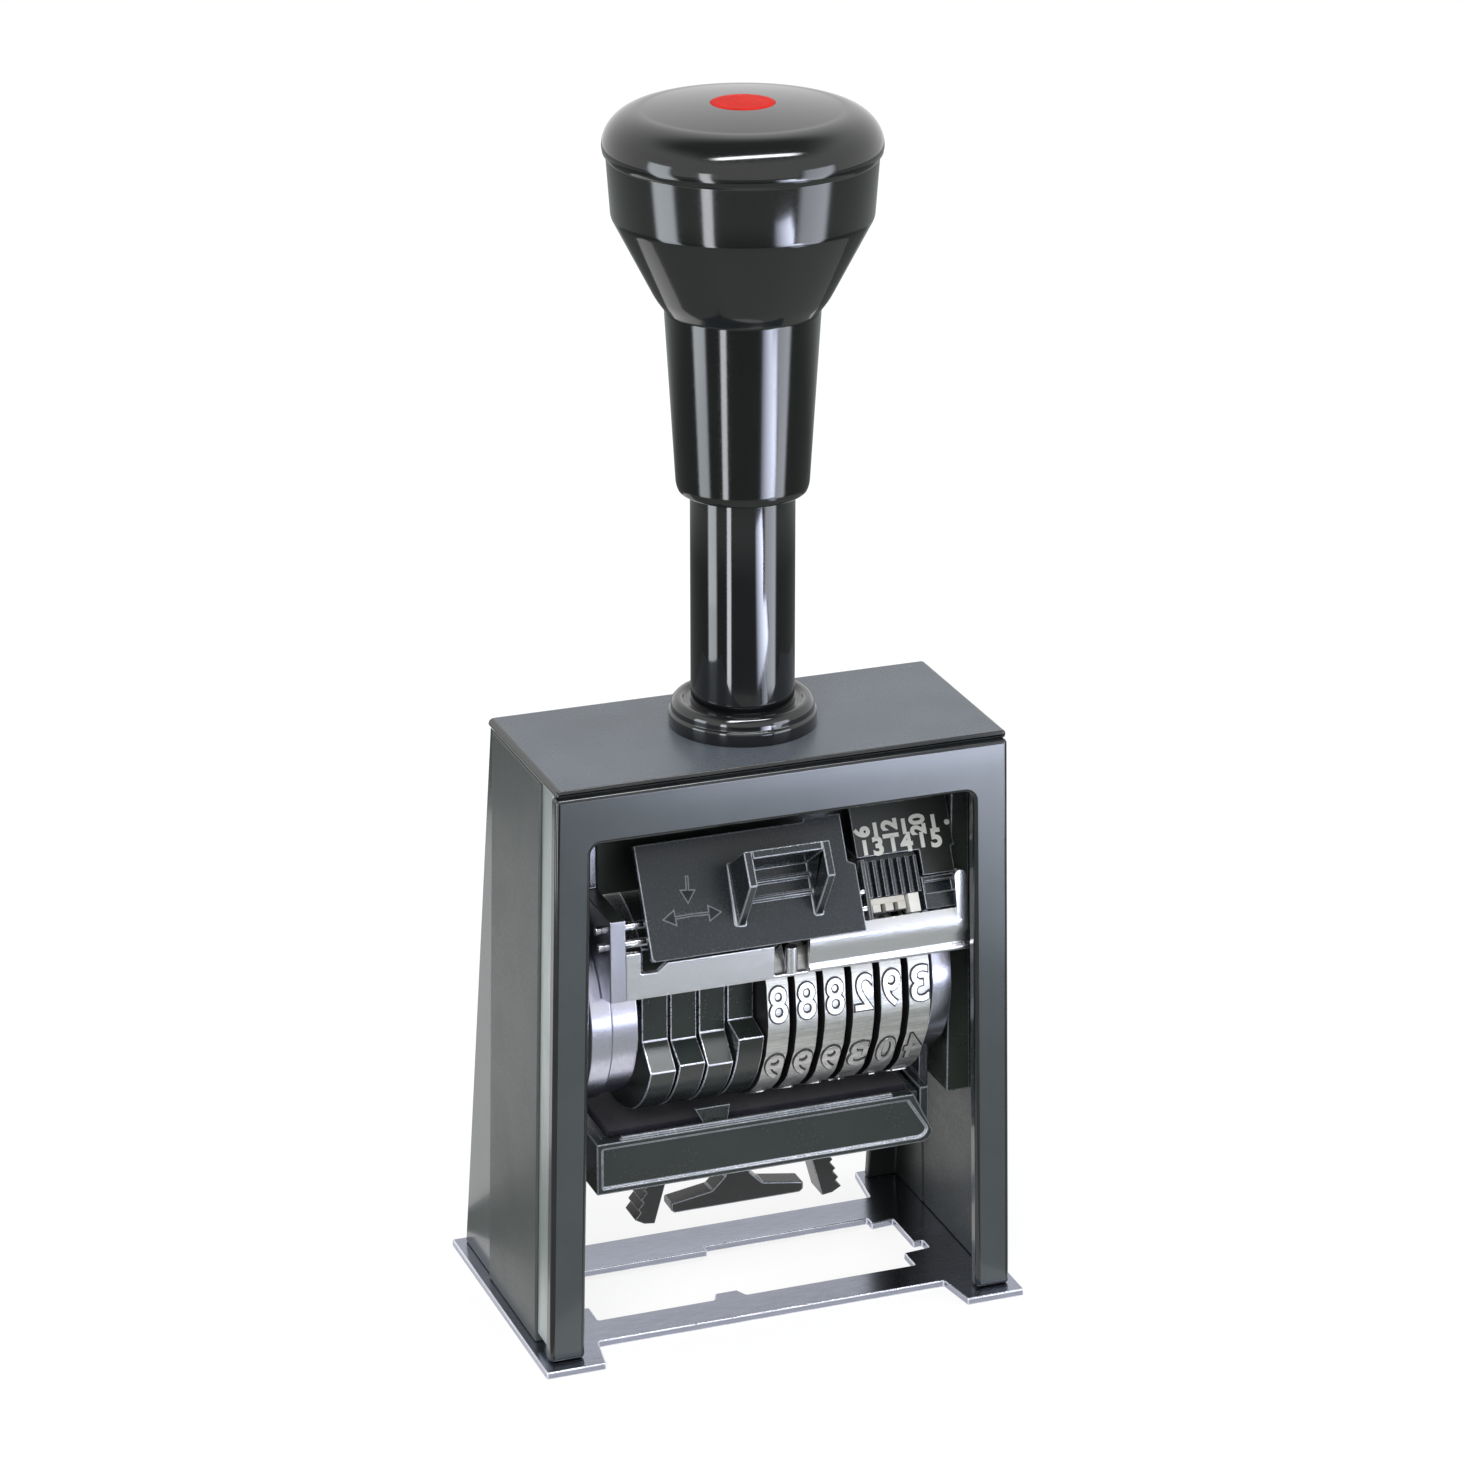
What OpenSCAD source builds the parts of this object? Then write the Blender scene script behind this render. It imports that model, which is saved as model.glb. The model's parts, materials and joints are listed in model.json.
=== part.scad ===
// Self-inking numbering machine: a splayed housing on a stamped base plate, a knob
// handle that drives a carriage of figure wheels down through the printing window,
// and an ink tray that swings back out of the way as the carriage goes down.
// X runs left to right, Y runs front to back, Z is up. The origin is the middle of
// the base plate's underside. All sizes are in millimetres.

/* [Base plate] */
// Width of the base plate
plate_w = 72.6; // [72:0.2:80]
// Thickness of the stamped sheet
plate_t = 1.1; // [0.8:0.1:1.4]
// Width of a corner foot tab
tab_w = 8.6; // [7:0.2:10]
// Depth of the notch between two foot tabs
tab_len = 6.5; // [5:0.5:7.5]
// Depth of the front bar, front to back
front_bar_d = 6; // [4:0.5:7]
// Depth of the rear bar, front to back
rear_bar_d = 6.5; // [4:0.5:7.5]
// Gap between the wheels' sweep and the rear bar
rear_bar_gap = 0.8; // [0.4:0.1:1.5]
// Width of the aligning nib at its foot
nib_w = 5; // [3:0.5:7]
// Height of the aligning nib
nib_d = 1.8; // [1:0.2:2.2]
// Distance of the aligning nib left of the middle
nib_x = 4.3; // [0:0.1:8]
// Clearance of the window round the wheels
window_gap = 1.2; // [0.6:0.1:1.6]

/* [Housing] */
// Width of the housing at the base plate
body_w_bottom = 70; // [69:0.5:72]
// Width of the housing at the top
body_w_top = 66; // [65:0.5:68]
// Gap between the selector's upper edge and the front frame's lintel
lintel_gap = 4.4; // [3.5:0.1:6]
// Setback of the housing from the front of the base plate
front_margin = 2.3; // [1:0.1:3]
// Setback of the housing from the back of the base plate
rear_margin = 1.2; // [0.8:0.1:3]
// Depth of the rear frame's side at the top
rear_top_d = 1.8; // [1.2:0.1:3.7]
// Depth of the housing at the base plate
body_d_bottom = 40.5; // [39:0.5:41.5]
// Thickness of the front frame
front_t = 2.3; // [1.5:0.1:2.4]
// Width of the front frame's posts
post_w = 5.1; // [4:0.1:5.6]
// Height of the front frame's lintel
lintel_h = 7.2; // [5:0.2:9]
// Corner radius of the front opening
opening_r = 1.5; // [0.5:0.1:4]
// Depth of the pale strip behind the front frame
strip_d = 4.5; // [3:0.5:6]
// Thickness of the pale strip
strip_t = 1.2; // [0.8:0.1:1.6]
// Gap between the pale strip's lower end and the base plate
strip_foot = 1.5; // [0.3:0.1:2]
// Recess of the pale strip below the side panel
strip_recess = 0.35; // [0.1:0.05:0.6]
// Thickness of a side panel
side_t = 1.8; // [1.2:0.1:2.2]
// Depth of a side panel, front to back
side_d = 21.2; // [18:0.2:22]
// Thickness of the rear frame
rear_t = 1.5; // [1:0.1:2]
// Recess of the rear frame's sides below the side panel
rear_recess = 0.4; // [0.1:0.1:0.8]
// Width of the rear opening
rear_open_w = 57.2; // [56.8:0.2:60]
// Height of the rear frame's lintel
rear_lintel_h = 8.4; // [6:0.2:12]
// Joint gap between neighbouring housing pieces
seam = 0.1; // [0.05:0.01:0.2]

/* [Top and guide] */
// Thickness of the top plate
top_t = 1.2; // [1:0.1:3]
// Depth of the boss under the top plate
boss_h = 2.5; // [1.5:0.1:3]
// Setback of the top plate's edge from the front face
top_setback = 0.4; // [0.2:0.1:1]
// Distance of the guide tube before the wheel axle
tube_ahead = 3.3; // [2.8:0.1:3.6]
// Outer radius of the guide tube
tube_r = 7.25; // [6.5:0.05:7.6]
// Bore radius of the guide tube
tube_bore_r = 6; // [5.9:0.05:6.2]
// Length of the guide tube hidden in the handle at rest
tube_overlap = 13; // [10:0.5:14]
// Height of the inner shoulder that the spring stands on
seat_h = 4; // [3:0.5:5]
// Radius of the collar
collar_r = 10.4; // [9.8:0.1:12]
// Height of the collar
collar_h = 3.9; // [3:0.1:5]
// Height of the clamping nut under the top plate
nut_h = 2.6; // [2:0.1:2.8]
// Thickness of the rubber stop ring
bumper_t = 0.8; // [0.5:0.1:1.2]
// Free travel of the handle
stroke = 30; // [28:0.5:30]
// Gap left under the handle when it is fully down
end_gap = 0.2; // [0.1:0.1:0.5]

/* [Handle] */
// Outer radius of the sleeve's lower rim
sleeve_r_low = 9.2; // [8.9:0.1:9.8]
// Outer radius of the sleeve at the cone
sleeve_r_top = 10.7; // [10.2:0.1:11.5]
// Length of the sleeve
sleeve_h = 25.8; // [22:0.2:30]
// Height of the cone
cone_h = 13; // [10:0.5:16]
// Radius of the cone's upper end
cone_r = 17.8; // [15:0.1:18]
// Height of the band above the cone
band_h = 8.3; // [6:0.1:10]
// Radius of the knob's cap at its widest
cap_r = 18.95; // [18.6:0.05:18.98]
// Height of the cap
cap_h = 7.2; // [6:0.1:9]
// Radius of the coloured inlay on the cap
inlay_r = 4.4; // [3:0.1:6]
// Wall over the handle's bore
crown_t = 2.3; // [1.5:0.1:3]
// Radius of the plunger rod
rod_r = 3; // [2.5:0.1:3.4]
// Wire radius of the return spring
spring_wire_r = 0.6; // [0.4:0.05:0.7]
// Number of turns of the return spring
spring_turns = 11; // [8:1:16]

/* [Wheels] */
// Gap between the wheels' lowest point and the paper when pressed
paper_gap = 0.1; // [0.05:0.05:0.3]
// Radius of a figure wheel over its figures
wheel_r = 17.1; // [16.6:0.1:17.2]
// Pitch of the figure wheels along the axle
wheel_pitch = 4.26; // [4.2:0.02:4.28]
// Width of a figure wheel's rim
wheel_face = 3.25; // [2.8:0.05:3.3]
// Left edge of the first figure wheel
wheel_x0 = -1.35; // [-1.4:0.05:-1.3]
// Angle that one figure's flat takes up
figure_angle = 19; // [16:1:22]
// Radius of the wheel axle
axle_r = 3; // [2.4:0.1:3.6]
// Radial running clearance of wheels and arms
run_gap = 0.05; // [0.03:0.01:0.08]
// Radial clearance of seated rods and pins
seat_gap = 0.02; // [0.01:0.01:0.03]
// Pitch of the notched discs along the axle
disc_pitch = 4.25; // [4.1:0.05:4.25]
// Width of a notched disc
disc_face = 3.85; // [3.4:0.05:4]
// Left edge of the first notched disc
disc_x0 = -18.3; // [-18.4:0.05:-18.3]
// Distance of a disc's flat from its axle
disc_flat = 12.1; // [11:0.1:13]
// Undersize of the notched discs against the figure wheels
disc_under = 0.4; // [0.3:0.1:1]

/* [Carriage] */
// Thickness of the left cheek's plate
cheek_l_t = 2.3; // [1.5:0.1:2.4]
// Width of the left cheek's round hub
cheek_hub_w = 3.85; // [2.6:0.05:4]
// Right face of the left cheek's plate
cheek_l_x = -22.3; // [-22.6:0.05:-22.2]
// Left face of the right cheek
cheek_r_x = 23.4; // [23.3:0.05:23.5]
// Thickness of the right cheek
cheek_r_t = 1; // [0.8:0.05:1.1]
// Radius of the cheeks' round hubs
hub_r = 13.8; // [12:0.1:13.9]
// Gap between the cheeks' front edge and the front frame
cheek_clear = 0.5; // [0.3:0.05:0.8]
// Gap between the cross bars and the figure wheels
bar_clear = 0.34; // [0.3:0.01:0.5]
// Height of the yoke's cross plate
yoke_t = 3; // [2:0.1:3.2]
// Thickness of the yoke's web
web_t = 1.5; // [1:0.1:1.6]
// Lower edge of the cross bars above the axle
bar_low = 6.4; // [6.2:0.1:6.8]
// Height of the cross bars
bar_h = 5; // [4:0.1:5]
// Thickness of the cross bars
bar_t = 1; // [0.8:0.1:1]
// Right end of the left cross bar
bar_l_end = -0.4; // [-1:0.1:0]
// Left end of the right cross bar
bar_r_start = 4.9; // [4.4:0.1:6]
// Right end of the right cross bar
bar_r_end = 29.6; // [29:0.1:29.9]
// Inner face of the guide rails from the middle
rail_x = 28.9; // [28.8:0.05:29.2]
// Clearance between guide shoes and rails
shoe_gap = 0.15; // [0.1:0.01:0.25]

/* [Ink tray] */
// Front of the tray from the axle
tray_front = 11.3; // [10:0.1:11.6]
// Back of the tray from the axle
tray_back = 7.7; // [7:0.1:8]
// Height of the tray's walls
tray_h = 7.9; // [7:0.1:8.2]
// Thickness of the tray's walls
tray_t = 1.4; // [1:0.1:1.6]
// Slant of the tray's front wall at its right end
tray_slant = 3; // [1:0.1:4]
// Radius of the front wall's lower right corner
tray_corner_r = 1.8; // [1.2:0.1:2.4]
// Width of the raised rim round the tray's front wall
rim_w = 0.9; // [0.6:0.1:1.1]
// Clearance round the cartridge in the tray
cartridge_gap = 0.2; // [0.15:0.05:0.4]
// Gap between ink pad and wheels
pad_gap = 0.1; // [0.05:0.05:0.2]
// Thickness of the ink pad
pad_t = 2.4; // [1.5:0.1:3]
// Thickness of the swing arms at the tray
arm_t = 1.5; // [1:0.05:1.6]
// Width of the swing arms' hubs
arm_hub_w = 3.1; // [2.4:0.1:3.2]
// Radius of the swing arms' hubs
arm_hub_r = 14.3; // [12:0.1:14.4]
// Swing of the tray over the full stroke, in degrees
tray_swing = 90; // [85:1:95]
// Radius of the fixed stud that turns the arms
stud_r = 1.1; // [0.9:0.1:1.2]
// Clearance of the stud in the cam slot
stud_gap = 0.2; // [0.15:0.05:0.3]
// Position of the stud behind the axle
stud_dy = 6.6; // [6.2:0.1:6.8]
// Depth of the stud below the axle at rest
stud_drop = 17.2; // [16:0.1:17.4]
// Depth of the cartridge handle's foot below the axle
tee_drop = 34.6; // [34:0.1:35.4]
// Place of the cartridge handle from the middle, left (-) to right (+)
tee_x = -0.8; // [-1.6:0.1:0]
// Height of the cartridge handle's bar
tee_bar = 1.6; // [1.2:0.1:2.6]
// Position of the cartridge handle from the axle, front (-) to back (+)
tee_y = -1.8; // [-2.4:0.1:-1]
// Half width of the cartridge handle
tee_half_w = 10.2; // [8:0.1:10.6]

/* [Repeat selector] */
// Lean of the selector plate from upright, in degrees
lean = 28; // [26:1:30]
// How far the selector plate's lower edge stands before the cheeks
sel_ahead = 1.23; // [1.2:0.01:1.4]
// Height of the selector plate's lower edge above the cross bars
sel_up = 0.88; // [0.86:0.01:1]
// Left edge of the selector plate
sel_x0 = -18.9; // [-19.1:0.1:-18]
// Width of the selector plate
sel_w = 31.8; // [30:0.2:32]
// Height of the selector plate at its left edge
sel_h = 16.3; // [14:0.1:16.6]
// Thickness of the selector plate
sel_t = 1.2; // [0.8:0.1:1.25]
// Travel of the selector plate when it is pressed
sel_press = 2; // [1:0.25:2]
// Left edge of the finger scoop
scoop_x0 = -5.8; // [-6.4:0.1:-4]
// Width of the finger scoop
scoop_w = 12.7; // [10:0.1:14]
// Height that the finger scoop stands off the plate
scoop_out = 7.8; // [5:0.1:8]
// Wall of the finger scoop
scoop_t = 1.2; // [0.8:0.1:1.6]
// Radius of the selector's guide rods
guide_rod_r = 0.6; // [0.5:0.05:0.7]

/* [Hidden] */
$fn = 96;
EPS = 0.01;

// Axle line: the wheels just reach the paper at full stroke
axle_z = stroke + paper_gap + wheel_r;
bar_z = axle_z + bar_low;
bar_top = bar_z + bar_h;
sel_z = bar_top + sel_up;
sel_step = 0.5;
sel_top = sel_z + (sel_h + sel_step) * cos(lean);

// Housing
plate_d = front_margin + body_d_bottom + rear_margin;
front_y = -plate_d / 2 + front_margin;
front_back_y = front_y + front_t;
strip_y0 = front_back_y + seam;
strip_y1 = strip_y0 + strip_d;
side_y0 = strip_y1 + seam;
side_y1 = side_y0 + side_d;
rear_y0 = side_y1 + seam;
rear_top_y = rear_y0 + rear_top_d;
rear_bottom_y = front_y + body_d_bottom;
front_open_top = sel_top + lintel_gap;
wall_top = front_open_top + lintel_h;
wall_h = wall_top - plate_t;
top_z = wall_top + top_t;
splay = (body_w_bottom - body_w_top) / 2 / (wall_h + top_t);
rear_open_top = wall_top - rear_lintel_h;
rear_slope = (rear_bottom_y - rear_top_y) / wall_h;

// Places from front to back, all measured from the front frame
cheek_front_y = front_back_y + cheek_clear;
axle_y = cheek_front_y + bar_t + bar_clear + sqrt(pow(wheel_r, 2) - pow(bar_low, 2));
tube_y = axle_y - tube_ahead;
sel_y = cheek_front_y - sel_ahead;
boss_z = wall_top - boss_h;
boss_half_w = 20;
boss_front_y = front_back_y + 1.5;
boss_back_y = tube_y + tube_r + 3.25;

// Outer half width of the housing at a height
function half_w(z) = body_w_bottom / 2 - (z - plate_t) * splay;
// Back face of the rear frame at a height
function rear_y(z) = rear_bottom_y - (z - plate_t) * rear_slope;

// Base plate
bar_front_y = -plate_d / 2 + tab_len;
bar_rear_y = bar_front_y + front_bar_d;
wheel_chord = sqrt(pow(wheel_r, 2) - pow(wheel_r + paper_gap - plate_t, 2));
rear_bar_y0 = axle_y + wheel_chord + rear_bar_gap;
rear_bar_back = rear_bar_y0 + rear_bar_d;

// Guide and handle
collar_z = top_z;
collar_top = collar_z + collar_h;
sleeve_z = collar_top + stroke + end_gap;
tube_top = sleeve_z + tube_overlap;
nut_z = boss_z - nut_h;
cone_z = sleeve_z + sleeve_h;
band_z = cone_z + cone_h;
cap_z = band_z + band_h;
crown_z = cap_z - crown_t;
knob_top = cap_z + cap_h;
yoke_top = nut_z - bumper_t - 0.1;
yoke_z = yoke_top - yoke_t;
rod_nut_h = 2.4;
spring_r = tube_bore_r - 0.4 - spring_wire_r;
seat_z = boss_z + seat_h;

// Widths along the axle line
arm_gap = 0.15;
hub_l_x = cheek_l_x - 0.95;
arm_l_x1 = hub_l_x - arm_gap;
arm_l_x0 = arm_l_x1 - arm_hub_w;
arm_r_x0 = cheek_r_x + cheek_r_t + arm_gap;
arm_r_x1 = arm_r_x0 + arm_hub_w;
clip_t = 0.4;
wheel_half = cheek_r_x - 0.2;
arm_reach = -arm_l_x0;
stud_z = axle_z - stud_drop;
rail_z0 = stud_z - stud_r - 0.6;
rail_y0 = axle_y - 10;
rail_y1 = rear_y0 - 2 * seam;

// Cheeks
cheek_tip_z = bar_top + 7.2;
shoe_z = yoke_top - 13.9;
shoe_y0 = axle_y - 5;
yoke_y1 = axle_y + 7.8;
web_y0 = shoe_y0;
web_y1 = web_y0 + web_t;
web_z = axle_z + wheel_r + 0.3;
pawl_rod_r = 1;
pawl_y = axle_y + 3.7;
pawl_z = axle_z + wheel_r + 2.8;
lip_r = bar_t / 2;
head_r = 0.85;
pin_r = 0.9;
pin_ahead = 0.3;

// Ink tray, seen from the axle
tray_top = -(wheel_r + 0.5);
tray_low = tray_top - tray_h;
tray_x0 = arm_l_x0 + arm_t;
tray_x1 = arm_r_x1 - arm_t;
rim_h = 0.35;
rib_t = 0.7;
rib_h = 0.5;
cart_x0 = tray_x0 + tray_t + cartridge_gap;
cart_x1 = tray_x1 - tray_t - cartridge_gap;
cart_wall = 1.2;
cart_front = tray_front - tray_t - cartridge_gap;
cart_back = tray_back - tray_t - cartridge_gap;
pad_top = -(wheel_r + pad_gap);
cart_low = tray_low + 0.4;

// Selector, in its own leaning frame
rod_in = 3;
rod_1 = 3.2;
rod_2 = 5.6;
rod_proud = 0.8;
slider_x0 = -12;
slider_w = 15;
slider_gap = 0.15;
slider_back = 4.6;
slider_low = 1.8;
slider_high = 11;
lug_r = 0.8;
lug_at = 9.4;
bracket_x = 14.4;
bracket_t = 0.6;
scale_x0 = bracket_x + bracket_t;
scale_left = bracket_x - 0.4;
scale_x1 = rail_x - 0.2;
scale_in = 2.2;
scale_t = 1;
comb_x1 = cheek_r_x - 0.5;
comb_in = 2.5;
comb_back = 4.1;
comb_t = 0.8;
// Corners of the scoop's side: foot, lip's lower corner, lip's upper corner, head
scoop_foot = 3.2;
scoop_lip = 7.8;
scoop_top = 12.8;
scoop_head = 11.9;

// Steps of the discs: height of the flat's lower edge below the axle, and the angle
// below the front at which the rim starts again
steps_of_discs = [[2.6, 21.1], [3, 18.5], [2.5, 21.4], [1.3, 8.1]];

// ---------------------------------------------------------------- helpers

// A flat outline in X and Z, given its depth from y0 back to y1
module from_front(y0, y1) {
  translate([0, y1, 0]) rotate([90, 0, 0]) linear_extrude(y1 - y0) children();
}

// A flat outline in Y and Z, given its width from x0 to x1
module from_side(x0, x1) {
  translate([x0, 0, 0]) rotate([90, 0, 90]) linear_extrude(x1 - x0) children();
}

// A round bar along X
module x_rod(x0, x1, r, y = 0, z = 0) {
  translate([x0, y, z]) rotate([0, 90, 0]) cylinder(h = x1 - x0, r = r);
}

// Children placed round the wheel axle
module at_axle() {
  translate([0, axle_y, axle_z]) children();
}

// Children placed in the selector's leaning frame: Y runs into the machine
module at_selector() {
  translate([0, sel_y, sel_z]) rotate([-lean, 0, 0]) children();
}

// Y and Z of a point of the selector's leaning frame
function in_selector(y, z) =
  [sel_y + y * cos(lean) + z * sin(lean), sel_z - y * sin(lean) + z * cos(lean)];

// A box from one corner to the opposite corner
module box(a, b) {
  translate(a) cube(b - a);
}

// A wall that follows the housing's splayed side, between two heights
module splayed_wall(inset, thick, y0, y1, z0, z1) {
  from_front(y0, y1) polygon([
    [half_w(z0) - inset - thick, z0], [half_w(z0) - inset, z0],
    [half_w(z1) - inset, z1], [half_w(z1) - inset - thick, z1]
  ]);
}

// The housing's whole cross-section between two heights
module splayed_outline(inset, z0, z1) {
  polygon([
    [-half_w(z0) + inset, z0], [half_w(z0) - inset, z0],
    [half_w(z1) - inset, z1], [-half_w(z1) + inset, z1]
  ]);
}

// ---------------------------------------------------------------- housing

// One half of the window's outline, from the front bar round to the rear bar
function window_half(s) = [
  [s * (wheel_half + window_gap), bar_rear_y],
  [s * (wheel_half + window_gap), axle_y - 5.7],
  [s * (arm_reach + 2), axle_y - 5.3],
  [s * (arm_reach + 2), axle_y - 2.9],
  [s * (arm_reach + 0.5), axle_y - 2.9],
  [s * (arm_reach + 0.5), axle_y + 5],
  [s * (wheel_half + 0.3), axle_y + 4.7],
  [s * (wheel_half + 0.3), rear_bar_y0 - (s < 0 ? 1.3 : 0)]
];

module base_plate() {
  notch_half = plate_w / 2 - tab_w;
  color("silver")
  linear_extrude(plate_t)
  difference() {
    square([plate_w, plate_d], center = true);
    polygon([
      [-notch_half + 1.2, bar_front_y], [-notch_half, -plate_d / 2 - 1],
      [notch_half, -plate_d / 2 - 1], [notch_half - 1.2, bar_front_y]
    ]);
    polygon([
      [-notch_half, plate_d / 2 + 1], [-notch_half + 1.2, rear_bar_back],
      [notch_half - 1.2, rear_bar_back], [notch_half, plate_d / 2 + 1]
    ]);
    difference() {
      polygon(concat(
        window_half(1),
        [[-2.3, rear_bar_y0], [-2.3, rear_bar_y0 - 1.3]],
        [for (i = [7:-1:0]) window_half(-1)[i]]
      ));
      polygon([
        [-nib_x - nib_w / 2, bar_rear_y - EPS], [-nib_x - nib_w / 3, bar_rear_y + nib_d],
        [-nib_x + nib_w / 3, bar_rear_y + nib_d], [-nib_x + nib_w / 2, bar_rear_y - EPS]
      ]);
    }
  }
}

// Outline of the front opening, with round upper corners
function opening_points() =
  let (
    zt = front_open_top,
    xt = half_w(zt) - post_w,
    xb = half_w(plate_t) - post_w,
    steps = 6
  )
  concat(
    [[-xb, plate_t - 1], [xb, plate_t - 1]],
    [for (i = [0:steps])
      [xt - opening_r + opening_r * cos(90 * i / steps),
       zt - opening_r + opening_r * sin(90 * i / steps)]],
    [for (i = [0:steps])
      [-xt + opening_r - opening_r * sin(90 * i / steps),
       zt - opening_r + opening_r * cos(90 * i / steps)]]
  );

module front_frame() {
  color([0.30, 0.32, 0.34])
  from_front(front_y, front_back_y)
  difference() {
    splayed_outline(0, plate_t, wall_top);
    polygon(opening_points());
  }
}

module side_panel() {
  color([0.42, 0.44, 0.44])
  splayed_wall(0, side_t, side_y0, side_y1, plate_t, wall_top);
}

module right_side_panel() {
  side_panel();
}

module left_side_panel() {
  mirror([1, 0, 0]) side_panel();
}

module trim_strip() {
  color([0.72, 0.76, 0.76])
  splayed_wall(strip_recess, strip_t, strip_y0, strip_y1, plate_t + strip_foot, wall_top);
}

module right_trim_strip() {
  trim_strip();
}

module left_trim_strip() {
  mirror([1, 0, 0]) trim_strip();
}

// Side outline of the rear wedge, from its joint with the panels to its back face
module wedge_outline(back) {
  polygon([
    [rear_y0 - 1, plate_t], [rear_y(plate_t) - back, plate_t],
    [rear_y(wall_top) - back, wall_top], [rear_y0 - 1, wall_top]
  ]);
}

module rear_frame() {
  color([0.30, 0.33, 0.32])
  difference() {
    intersection() {
      from_front(rear_y0, rear_bottom_y + 1) splayed_outline(rear_recess, plate_t, wall_top);
      from_side(-body_w_bottom, body_w_bottom) wedge_outline(0);
    }
    intersection() {
      from_front(rear_y0 - 1, rear_bottom_y)
        splayed_outline(rear_recess + rear_t, plate_t - 1, wall_top + 1);
      from_side(-body_w_bottom, body_w_bottom)
        polygon([
          [rear_y0 - 1, plate_t - 1], [rear_y(plate_t - 1) - rear_t, plate_t - 1],
          [rear_y(wall_top + 1) - rear_t, wall_top + 1], [rear_y0 - 1, wall_top + 1]
        ]);
    }
    box([-rear_open_w / 2, rear_y0, plate_t - 1],
        [rear_open_w / 2, rear_bottom_y + 1, rear_open_top]);
  }
}

module top_plate() {
  color([0.50, 0.53, 0.57])
  difference() {
    union() {
      intersection() {
        from_front(front_y + top_setback, rear_top_y)
          splayed_outline(0, wall_top, top_z);
      }
      box([-boss_half_w, boss_front_y, boss_z], [boss_half_w, boss_back_y, wall_top + EPS]);
    }
    translate([0, tube_y, boss_z - 1]) cylinder(h = boss_h + top_t + 2, r = tube_r + seat_gap);
  }
}

module guide_collar() {
  color([0.14, 0.15, 0.16])
  translate([0, tube_y, collar_z])
  rotate_extrude() polygon([
    [tube_r + seat_gap, 0], [collar_r, 0], [collar_r, 1.9], [collar_r - 0.3, 2.2],
    [collar_r - 0.3, 3.2], [collar_r - 0.9, collar_h], [tube_r + 1.2, collar_h],
    [tube_r + 0.9, collar_h - 0.5], [tube_r + seat_gap, collar_h - 0.5]
  ]);
}

module guide_tube() {
  color([0.12, 0.12, 0.13])
  translate([0, tube_y, 0])
  rotate_extrude() polygon([
    [rod_r + run_gap, nut_z], [tube_r, nut_z], [tube_r, tube_top - 0.6],
    [tube_r - 0.6, tube_top], [tube_bore_r, tube_top], [tube_bore_r, seat_z],
    [rod_r + run_gap, seat_z]
  ]);
}

module tube_nut() {
  color("dimgray")
  translate([0, tube_y, nut_z])
  difference() {
    cylinder(h = nut_h, r = tube_r + 3.4, $fn = 6);
    translate([0, 0, -1]) cylinder(h = nut_h + 2, r = tube_r + seat_gap);
  }
}

module bumper_ring() {
  color([0.08, 0.08, 0.08])
  translate([0, tube_y, nut_z - bumper_t])
  difference() {
    cylinder(h = bumper_t, r = tube_r - 0.3);
    translate([0, 0, -1]) cylinder(h = bumper_t + 2, r = rod_r + 0.4);
  }
}

// Vertical rail between a side wall and the carriage's guide shoe
module guide_rail() {
  color([0.25, 0.28, 0.27])
  from_front(rail_y0, rail_y1) polygon([
    [rail_x, rail_z0], [half_w(rail_z0) - side_t, rail_z0],
    [half_w(boss_z) - side_t, boss_z], [rail_x, boss_z]
  ]);
}

module right_guide_rail() {
  guide_rail();
}

module left_guide_rail() {
  mirror([1, 0, 0]) guide_rail();
}

module swing_studs() {
  color("gray")
  for (s = [-1, 1]) {
    inner = s < 0 ? tray_x0 - 0.2 : -tray_x1 - 0.2;
    mirror([s < 0 ? 0 : 1, 0, 0])
      x_rod(-rail_x, inner, stud_r, axle_y + stud_dy, stud_z);
  }
}

// ---------------------------------------------------------------- handle

module handle_grip() {
  color([0.10, 0.10, 0.11])
  translate([0, tube_y, 0])
  rotate_extrude() polygon([
    [tube_r + run_gap, sleeve_z], [sleeve_r_low - 0.6, sleeve_z],
    [sleeve_r_low, sleeve_z + 1], [sleeve_r_top, cone_z],
    [sleeve_r_top + 1.3, cone_z + 1.8], [cone_r, band_z],
    [cone_r + 0.6, cap_z], [rod_r + seat_gap, cap_z],
    [rod_r + seat_gap, crown_z], [tube_r + run_gap, crown_z]
  ]);
}

// Half outline of the domed cap: bulged rim, round shoulder, nearly flat crown
function cap_points() =
  let (
    shoulder_r = 13.5,
    shoulder_z = cap_h - 0.9,
    rim_z = 1.2,
    steps = 10
  )
  concat(
    [[cap_r - 0.5, 0], [cap_r, rim_z]],
    [for (i = [1:steps])
      [shoulder_r + (cap_r - shoulder_r) * cos(90 * i / steps),
       rim_z + (shoulder_z - rim_z) * sin(90 * i / steps)]],
    [for (i = [1:4])
      let (r = shoulder_r * (1 - i / 4) + inlay_r * i / 4)
      [r, shoulder_z + 0.9 * (1 - pow(r / shoulder_r, 2))]]
  );

module knob_cap() {
  color([0.10, 0.10, 0.11])
  translate([0, tube_y, cap_z])
  rotate_extrude() polygon(concat(
    cap_points(),
    [[inlay_r, cap_h - 0.9], [0, cap_h - 0.9], [0, cap_h - 2.6],
     [12, cap_h - 3.2], [14, 1.6], [14, 0]]
  ));
}

module knob_inlay() {
  color([0.88, 0.16, 0.10])
  translate([0, tube_y, cap_z + cap_h - 0.9])
  rotate_extrude() polygon([
    [0, 0], [inlay_r - seat_gap, 0], [inlay_r - seat_gap, 0.75], [inlay_r - 0.5, 0.86], [0, 0.9]
  ]);
}

module plunger_rod() {
  color("silver")
  translate([0, tube_y, yoke_z - rod_nut_h])
    cylinder(h = cap_z - yoke_z + rod_nut_h, r = rod_r);
}

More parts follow.
